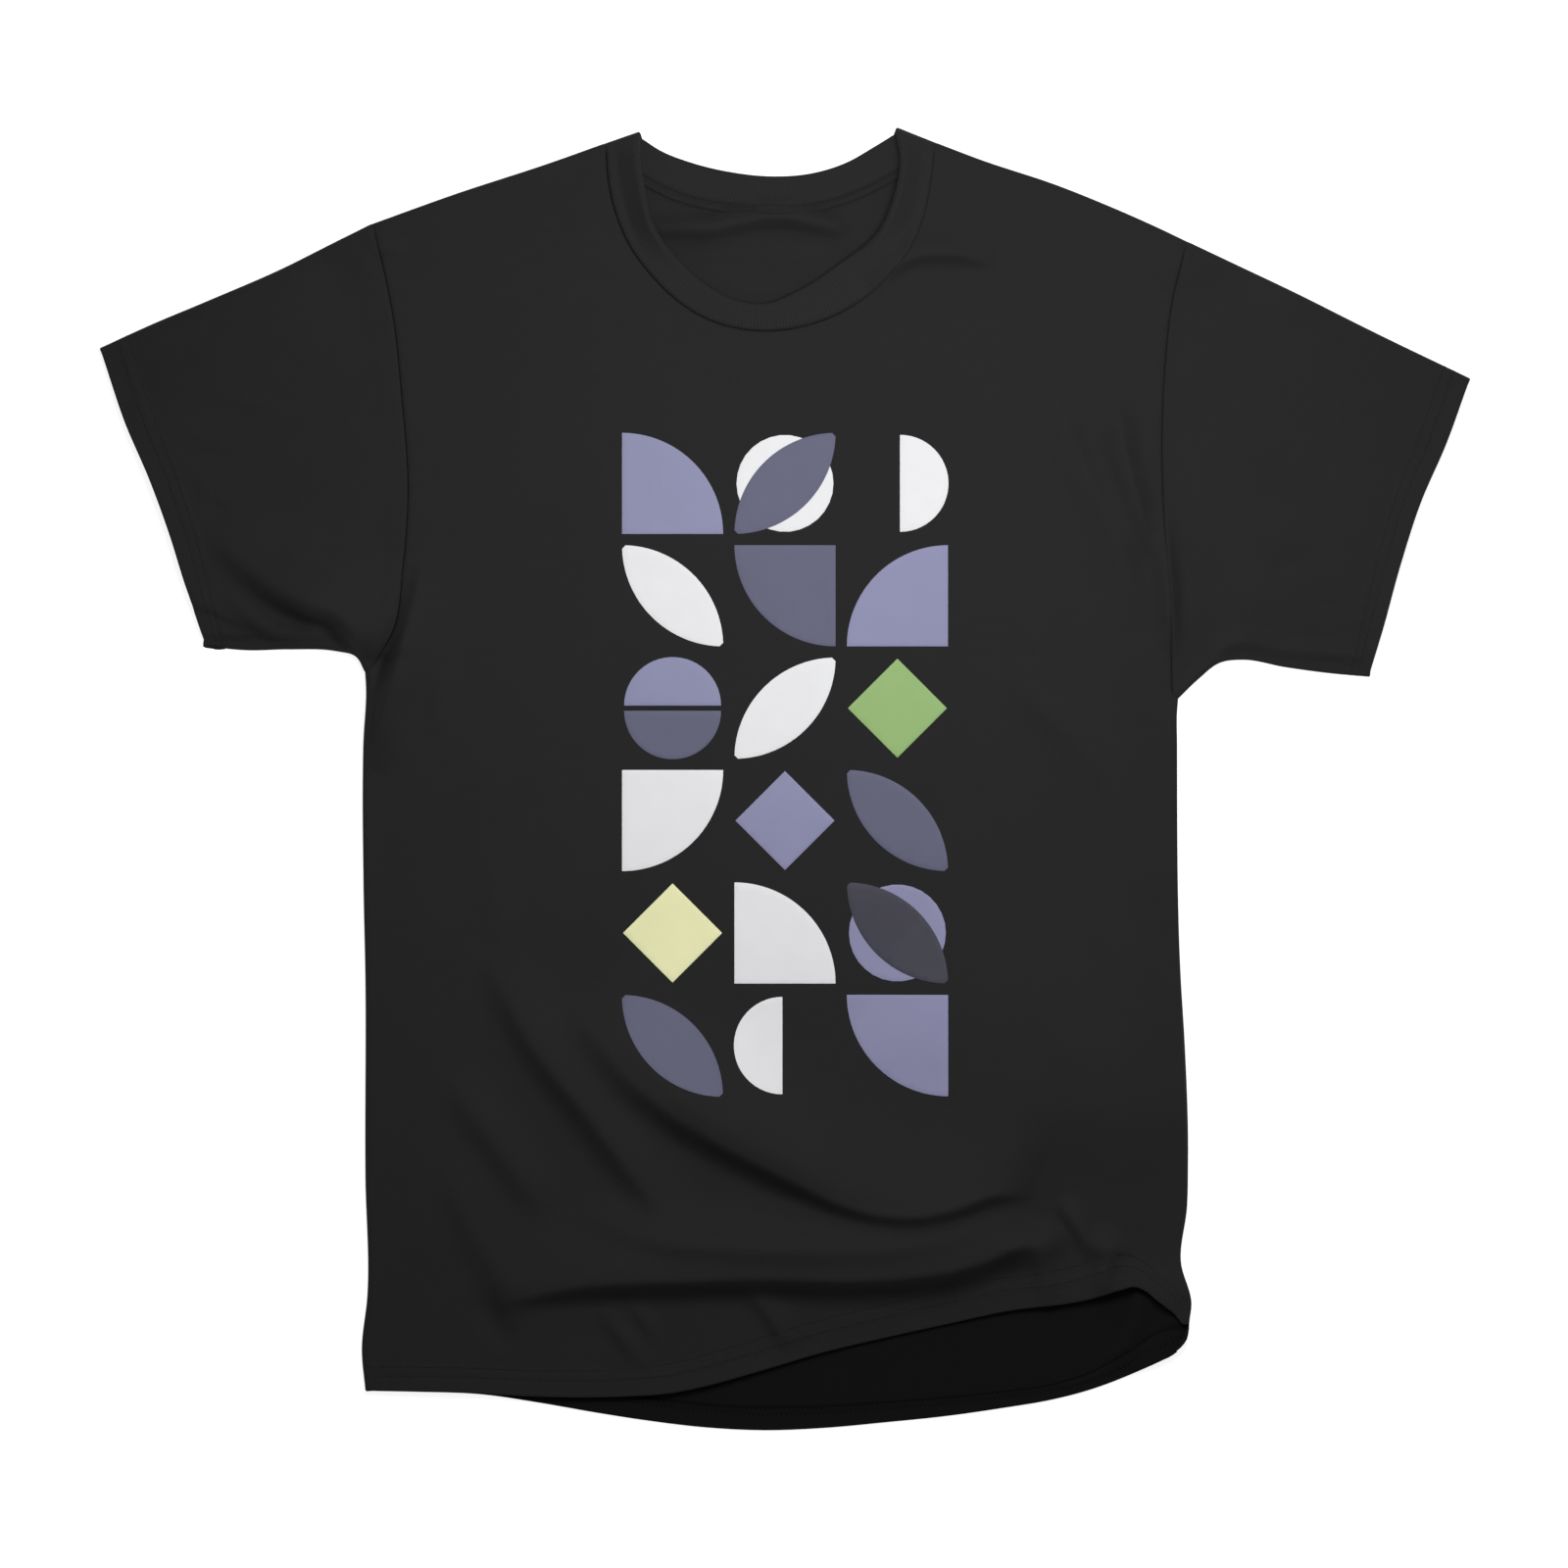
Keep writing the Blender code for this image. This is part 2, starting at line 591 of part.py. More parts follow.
def add_neck_tape(neck, finish):
    """The tape that covers the neck seam inside the back of the neck, from shoulder to shoulder."""
    line = neck[1:-1]
    low = RIB_WALL + SEWN + SEAM_HEIGHT + GAP
    rims = []
    for across in (0.0, TAPE_WIDTH):
        plan = line + across * outward(line)
        rims.append([np.column_stack([plan, np.full(len(plan), z)]) for z in (low + TAPE_HEIGHT, low)])
    return add_band("neck_tape", *rims, finish)


def add_edge_seam(name, edge, finish):
    """The overlocked allowance of a seam along a fold: a flat strip inside it, at half height."""
    along = lengths(edge.base)
    part = edge.at(np.sort(np.concatenate([along, (along[1:] + along[:-1]) / 2])))
    height = middle_height(part.base)
    reach = FOLD - WALL - 2 * GAP
    rims = []
    for across in (reach, reach - SEAM_WIDTH):
        plan = part.base + across * part.out
        rims.append([np.column_stack([plan, height + up * SEAM_HEIGHT / 2]) for up in (1, -1)])
    return add_band(name, *rims, finish)


def surface_of(made):
    """A look-up of an object's highest point over a plan point, in millimetres."""
    points = [v.co / MM for v in made.data.vertices]
    tree = BVHTree.FromPolygons(points, [p.vertices[:] for p in made.data.polygons])
    return lambda x, y: tree.ray_cast(Vector((x, y, 100.0)), Vector((0, 0, -1)))[0].z


def add_stitches(name, line, width, height, finish):
    """A flat strip of thread along a plan line, just above the surface that height gives."""
    line = resampled(line, round(lengths(line)[-1] / STITCH_STATION))[2:-3]
    sections = []
    for (x, y), (u, v) in zip(line, outward(line)):
        corners = []
        for across, up in ((-1, THREAD_HEIGHT), (1, THREAD_HEIGHT), (1, 0), (-1, 0)):
            px, py = x + u * across * width / 2, y + v * across * width / 2
            near = [height(px - v * along, py + u * along) for along in (-STITCH_STATION / 2, 0, STITCH_STATION / 2)]
            corners.append((px, py, max(near) + GAP + up))
        sections.append(np.array(corners))
    return add_sweep(name, sections, finish)


def add_print(spots, faces, finish):
    """The printed film on the chest: a rounded rectangle cut from the front panel's own facets."""
    sheet = bpy.data.meshes.new("chest_print")
    points = layer(spots, True, 0.0)
    middle, half = np.array(PRINT_CENTRE), np.array(PRINT_SIZE) / 2
    flat = [f for f in faces if (spots[f, 4] == 0).all()]
    near = [f for f in flat if (np.abs(points[f, :2] - middle) < half + 1.5 * CELL).all()]
    used = sorted({i for f in near for i in f})
    place = {old: new for new, old in enumerate(used)}
    sheet.from_pydata([tuple(points[i] * MM) for i in used], [], [[place[i] for i in f] for f in near])
    bm = bmesh.new()
    bm.from_mesh(sheet)
    bmesh.ops.triangulate(bm, faces=bm.faces[:])
    outline = []
    for k, (sx, sy) in enumerate(((1, 1), (-1, 1), (-1, -1), (1, -1))):
        centre = middle + (half - PRINT_CORNER) * (sx, sy)
        for turn in range(4):
            angle = math.pi / 2 * (k + turn / 3)
            outline.append(centre + PRINT_CORNER * np.array([math.cos(angle), math.sin(angle)]))
    for a, b in zip(outline, outline[1:] + outline[:1]):
        run = (b - a) / np.linalg.norm(b - a)
        bmesh.ops.bisect_plane(
            bm, geom=bm.verts[:] + bm.edges[:] + bm.faces[:], dist=0.00005, plane_co=(*(a * MM), 0),
            plane_no=(run[1], -run[0], 0), clear_outer=True,
        )
    bm.verts.index_update()
    places = np.array([v.co[:] for v in bm.verts]) / MM
    cut = [[v.index for v in f.verts] for f in bm.faces]
    bm.free()
    up = np.array([0, 0, 1.0])
    return add_shell("chest_print", places + up * (GAP + PRINT_HEIGHT), places + up * GAP, cut, finish)


# ------------------------------------------------------------------ the shirt

def clear_scene():
    for old in list(bpy.data.objects):
        bpy.data.objects.remove(old, do_unlink=True)


def main():
    clear_scene()
    jersey, rib = material("jersey", JERSEY), material("rib", RIB)
    thread, ink = material("thread", THREAD), material("ink", INK)

    side_left, under_left = joined_edges(SIDE["left"] + [UNDERARM["left"][0]], UNDERARM["left"])
    top_left, shoulder_left, collar_left = joined_edges(
        SLEEVE_TOP["left"], SHOULDER["left"], COLLAR_TOP["left"]
    )
    collar_right, shoulder_right, top_right = joined_edges(
        COLLAR_TOP["right"], SHOULDER["right"], SLEEVE_TOP["right"]
    )
    under_right, side_right = joined_edges(UNDERARM["right"], [UNDERARM["right"][-1]] + SIDE["right"])

    armhole_left = between(side_left, ARMHOLE["left"], shoulder_left)
    armhole_right = between(shoulder_right, ARMHOLE["right"], side_right)
    cuff_left = between(under_left, CUFF["left"], top_left)
    cuff_right = between(top_right, CUFF["right"], under_right)
    front_neck = between(shoulder_left, FRONT_NECK, shoulder_right)
    back_neck = between(shoulder_left, BACK_NECK[::-1], shoulder_right)
    front_hem = between(side_right, FRONT_HEM, side_left)
    back_hem = between(side_right, BACK_HEM, side_left)

    sides, shoulders = (side_right, side_left), (shoulder_right, shoulder_left)
    armholes = armhole_right, armhole_left
    front, spots, faces = add_panel(
        "front_panel", True, front_hem, front_neck, sides, armholes, shoulders, jersey
    )
    back = add_panel("back_panel", False, back_hem, back_neck, sides, armholes, shoulders, jersey)[0]
    add_print(spots, faces, ink)

    sleeves = {
        "left": SleevePlan(armhole_left, cuff_left, under_left, top_left.turned(), 1),
        "right": SleevePlan(armhole_right[::-1], cuff_right[::-1], under_right.turned(), top_right, -1),
    }
    for side, plan in sleeves.items():
        on_sleeve = surface_of(add_sleeve(side, plan, jersey))
        for row, depth in enumerate(STITCH_ROWS, 1):
            line = plan.line(1 - depth / plan.reach)[0]
            add_stitches(f"{side}_cuff_stitch_row_{row}", line, THREAD_WIDTH, on_sleeve, thread)
        add_armhole_seam(side, plan, thread)
        under = plan.under.at(plan.shares * plan.under.length())
        sewn = under.stretch(2 * SEAM_WIDTH, under.length() - CUFF_DEPTH - SEAM_END)
        add_edge_seam(f"{side}_underarm_seam", sewn, thread)
    above_hem = HEM_DEPTH + 2 * SEAM_END
    left_part = side_left.stretch(above_hem + LEFT_HEM_PEAK, side_left.length() - SEAM_END)
    right_part = side_right.stretch(SEAM_END, side_right.length() - above_hem)
    add_edge_seam("left_side_seam", left_part, thread)
    add_edge_seam("right_side_seam", right_part, thread)
    for side, shoulder in zip(("right", "left"), shoulders):
        add_edge_seam(f"{side}_shoulder_seam", shoulder.stretch(SEAM_END, shoulder.length() - SEAM_END), thread)

    neck = [line + SEWN * outward(line) for line in (front_neck, back_neck)]
    edge = between(collar_left, FRONT_COLLAR, collar_right), between(collar_left, BACK_COLLAR[::-1], collar_right)
    folds = collar_left, collar_right.turned()
    add_neckband(neck, edge, folds, rib)
    add_neck_seam(neck, edge, folds, thread)
    add_neck_tape(neck[1], rib)

    on_front, on_back = surface_of(front), surface_of(back)
    for row, line in enumerate(hem_lines(front_hem, side_right, side_left, STITCH_ROWS), 1):
        add_stitches(f"front_hem_stitch_row_{row}", line, THREAD_WIDTH, on_front, thread)
    cover_line, = hem_lines(back_hem, side_right, side_left, [HEM_DEPTH - COVER_WIDTH])
    add_stitches("back_hem_cover_stitch", cover_line, COVER_WIDTH, on_back, thread)


main()
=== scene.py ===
import math
import bpy
import numpy as np
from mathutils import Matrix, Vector
from mathutils.geometry import delaunay_2d_cdt
from mathutils.kdtree import KDTree


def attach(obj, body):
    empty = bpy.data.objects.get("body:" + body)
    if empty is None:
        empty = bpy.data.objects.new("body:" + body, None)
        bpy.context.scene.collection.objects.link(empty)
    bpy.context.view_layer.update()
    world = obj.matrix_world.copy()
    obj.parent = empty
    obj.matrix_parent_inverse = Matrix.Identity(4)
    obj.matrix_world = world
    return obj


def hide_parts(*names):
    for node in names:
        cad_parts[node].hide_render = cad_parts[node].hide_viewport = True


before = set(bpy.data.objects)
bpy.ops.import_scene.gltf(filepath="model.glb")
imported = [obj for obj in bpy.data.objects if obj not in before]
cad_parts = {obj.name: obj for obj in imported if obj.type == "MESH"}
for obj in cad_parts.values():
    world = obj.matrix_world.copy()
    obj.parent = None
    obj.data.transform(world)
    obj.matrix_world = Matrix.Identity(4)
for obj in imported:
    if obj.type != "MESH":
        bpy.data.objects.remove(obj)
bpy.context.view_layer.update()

mm = 0.001

# Plan points and sizes are millimetres. x runs to the wearer's left, y to the neck, z up from the table.
# The shirt is a flattened tube: a front layer, a back layer and a round fold between them.
cloth = {
    "wall": 0.8,
    "hemWall": 1.5,
    "foldReach": 3.7,       # bulge of a folded edge, seen from above
    "edgeLoft": 4.6,        # top of the front layer at a folded edge
    "loft": 6.2,            # the same well inside
    "loftWithin": 34.0,
    "hemDepth": 14.0,
    "cuffDepth": 15.0,
    "hemRows": (8.0, 13.0),
    "foldRows": 6,
    "foldTurn": 86,         # degrees that a panel's folded edge is carried round
    "quarterRows": 5,       # spots on each quarter turn where a ring goes round the tube
    "sewnGap": 0.32,
}
fineness = {"coarse": 4.4, "fine": 2.7, "fineBelow": -120.0, "back": 5.2, "along": 3.0}

# outline of the shirt as it lies, anticlockwise from the left hem corner
sideLine = {
    "left": [(219.5, -320.8), (223, -317.6), (225.2, -314.2), (226.2, -310), (226.6, -304), (227.8, -295),
             (222, -271), (225.5, -240), (226, -214), (224, -147), (222, -113), (220, 19), (220, 38)],
    "right": [(-235, 52), (-236.5, 19), (-236.5, -58), (-235.4, -113), (-235.4, -223), (-234.3, -290),
              (-237.4, -321), (-235.4, -343)],
}
underarmLine = {
    "left": [(220.6, 45), (232, 56), (244, 65), (256, 66.5), (280, 62.4), (305, 59), (327.3, 57)],
    "right": [(-325.6, 74), (-301, 71.8), (-279, 72.3), (-250.8, 71.2), (-240.4, 68.5), (-235.5, 60)],
}
sleeveTopLine = {
    "left": [(383.9, 224.7), (325.6, 252.7), (287, 272), (226, 301)],
    "right": [(-232, 311), (-258, 298), (-279, 287.4), (-324.5, 267.6), (-356, 254.4), (-383.9, 241.7)],
}
shoulderLine = {
    "left": [(226, 301), (208.5, 309.4), (181, 321.5), (153.5, 332.5), (109.5, 347.3), (85.3, 356.5)],
    "right": [(-101.8, 356.1), (-132.6, 345.1), (-187.6, 327), (-232, 311)],
}
collarTopLine = {"left": [(85.3, 356.5), (62.5, 364.9)], "right": [(-81.4, 362.7), (-101.8, 356.1)]}

# seams and edges that cross the layers, without their end points, which lie on the folds
armholeLine = {
    "left": [(216.5, 75), (216.3, 100), (212.5, 146), (211.4, 191), (213, 230), (216.7, 265)],
    "right": [(-225, 285), (-220, 260), (-215, 215), (-211.4, 160), (-214, 120), (-219, 84)],
}
cuffLine = {
    "left": [(334, 82), (344.3, 120), (356, 156), (369.6, 187)],
    "right": [(-369, 199), (-356, 169), (-345, 139), (-335, 107)],
}
frontNeckLine = [(82, 335), (76, 310), (63.3, 287), (43.5, 268.5), (15.4, 254.9), (-15.4, 251), (-37, 255),
                 (-56, 264.5), (-75, 282), (-88, 300), (-96, 320), (-99.6, 338)]
frontBandLine = [(63.5, 348), (60, 326), (52.8, 308.8), (30.8, 289), (3.3, 272), (-9.4, 267), (-24.8, 268),
                 (-37, 273), (-52.3, 284), (-65, 298), (-73.2, 311), (-78, 332), (-80.5, 350)]
backNeckLine = [(-97, 345), (-81, 334), (-66, 326), (-46, 320), (-22, 317.5), (0, 317), (18, 318.5),
                (40, 325), (60.5, 335), (78, 346)]
backBandLine = [(-70, 352.5), (-52, 345.5), (-30, 340.3), (-8, 338), (14, 339.5), (34, 345.5), (50, 354.5)]
frontHemLine = [(-208, -343), (-170, -344), (-138, -345.7), (-90, -345.7), (-65, -344), (-43, -339.6),
                (-19, -333), (22, -321), (56, -313), (90, -305.5), (128, -297.5), (157, -294), (176, -290),
                (188, -286), (195.5, -284), (202, -286.2), (207.5, -290.8), (214.5, -296.2), (219, -299.8)]
backHemLine = [(-208, -343.3), (-170, -344.8), (-137.5, -349.5), (-106, -355), (-77.6, -359.4),
               (-44.6, -363.3), (-11.6, -364.9), (22, -363.6), (56, -360.5), (90, -357), (123, -352.3),
               (148.5, -348), (171, -342.2), (184, -337.6), (198.6, -331.4), (210, -326), (217, -322.4)]


def lengths(line):
    return np.concatenate([[0.0], np.cumsum(np.linalg.norm(np.diff(line, axis=0), axis=1))])


def sampled(values, along, where):
    return np.column_stack([np.interp(where, along, values[:, k]) for k in range(values.shape[1])])


def atLengths(line, where):
    return sampled(line, lengths(line), where)


def evenly(line, step):
    size = lengths(line)[-1]
    return atLengths(line, np.linspace(0, size, max(2, round(size / step) + 1)))


def throughPoints(points, step):
    # a smooth curve through the points, then even steps along it
    known = np.array(points, float)
    along = lengths(known)
    slope = np.gradient(known, along, axis=0)
    fine = np.linspace(0, along[-1], 30 * len(known))
    i = np.clip(np.searchsorted(along, fine, side="right") - 1, 0, len(known) - 2)
    span = (along[i + 1] - along[i])[:, None]
    q = (fine - along[i])[:, None] / span
    drawn = (known[i] * (1 + 2 * q) * (1 - q) ** 2 + slope[i] * span * q * (1 - q) ** 2
             + known[i + 1] * q * q * (3 - 2 * q) - slope[i + 1] * span * q * q * (1 - q))
    return evenly(drawn, step)


def rightHand(line):
    run = np.gradient(line, axis=0)
    normal = np.column_stack([run[:, 1], -run[:, 0]])
    return normal / np.linalg.norm(normal, axis=1)[:, None]


class FoldLine:
    # where a folded edge starts to bulge, and which way
    def __init__(self, start, out):
        self.start, self.out = start, out

    def part(self, begin, end):
        return FoldLine(self.start[begin:end], self.out[begin:end])

    def turned(self):
        return FoldLine(self.start[::-1], self.out[::-1])

    def at(self, where):
        along = lengths(self.start)
        return FoldLine(sampled(self.start, along, where), sampled(self.out, along, where))

    def size(self):
        return lengths(self.start)[-1]


def foldLines(*stretches, roundedOver=0.0):
    # roundedOver is the length at the beginning over which the fold's bulge grows from nothing
    drawn = [throughPoints(points, fineness["along"]) for points in stretches]
    whole = np.concatenate([drawn[0]] + [d[1:] for d in drawn[1:]])
    out = rightHand(whole)
    if roundedOver:
        out = out * np.clip(lengths(whole) / roundedOver, 0.05, 1)[:, None]
    run = FoldLine(whole - cloth["foldReach"] * out, out)
    found, begin = [], 0
    for d in drawn:
        found.append(run.part(begin, begin + len(d)))
        begin += len(d) - 1
    return found


def pinned(line, first, last):
    # the line, shifted little by little so that it begins and ends at two points
    across = np.linspace(0, 1, len(line))[:, None]
    return line + (1 - across) * (first - line[0]) + across * (last - line[-1])


def between(foldA, middle, foldB):
    return throughPoints([tuple(foldA.start[-1]), *middle, tuple(foldB.start[0])], fineness["along"])


sideL, underL = foldLines(sideLine["left"] + underarmLine["left"][:1], underarmLine["left"], roundedOver=12.0)
topL, shoulderL, collarL = foldLines(sleeveTopLine["left"], shoulderLine["left"], collarTopLine["left"])
collarR, shoulderR, topR = foldLines(collarTopLine["right"], shoulderLine["right"], sleeveTopLine["right"])
underR, sideR = foldLines(underarmLine["right"], underarmLine["right"][-1:] + sideLine["right"])
armholeL = between(sideL, armholeLine["left"], shoulderL)
armholeR = between(shoulderR, armholeLine["right"], sideR)
cuffL, cuffR = between(underL, cuffLine["left"], topL), between(topR, cuffLine["right"], underR)
frontNeck = between(shoulderL, frontNeckLine, shoulderR)
backNeck = between(shoulderL, backNeckLine[::-1], shoulderR)
sideFrontL = sideL.part(6, len(sideL.start))    # the front's hem ends higher up the fold than the back's
frontHem, backHem = between(sideR, frontHemLine, sideFrontL), between(sideR, backHemLine, sideL)
frontBand, backBand = between(collarL, frontBandLine, collarR), between(collarL, backBandLine[::-1], collarR)


def nearest(xy, line, within):
    # distance to a plan line, how far along it, and 1 on its left side or -1 on its right
    far, place, side = np.full(len(xy), float(within)), np.zeros(len(xy)), np.ones(len(xy))
    close = np.where(((xy > line.min(0) - within) & (xy < line.max(0) + within)).all(1))[0]
    begin, run = line[:-1], np.diff(line, axis=0)
    size, along = (run ** 2).sum(1), lengths(line)
    for some in np.array_split(close, max(1, len(close) * len(begin) // 600000)):
        if not len(some):
            continue
        off = xy[some][:, None, :] - begin
        q = np.clip((off * run).sum(2) / size, 0, 1)
        away = off - q[..., None] * run
        square = (away ** 2).sum(2)
        k, rows = square.argmin(1), np.arange(len(some))
        reach = np.sqrt(square[rows, k])
        hit = reach < within
        far[some] = np.minimum(reach, within)
        place[some] = np.where(hit, along[k] + q[rows, k] * np.sqrt(size[k]), 0)
        side[some] = np.where(run[k, 0] * away[rows, k, 1] - run[k, 1] * away[rows, k, 0] > 0, 1, -1)
    return far, place, side


def easeIn(value, low, high):
    q = np.clip((value - low) / (high - low), 0, 1)
    return q * q * (3 - 2 * q)


def waves(xy, size, seed, count=9):
    # a calm uneven surface of crossing sine waves about size apart, roughly from -1 to 1
    total = np.zeros(len(xy))
    for k in range(count):
        turn = seed * 1.7 + k * 2.4
        spacing = size * (0.7 + 0.6 * ((k * 0.618 + seed * 0.37) % 1))
        across = xy[:, 0] * math.cos(turn) + xy[:, 1] * math.sin(turn)
        total += np.sin(2 * math.pi * across / spacing + turn * 5.1)
    return total * 1.5 / count


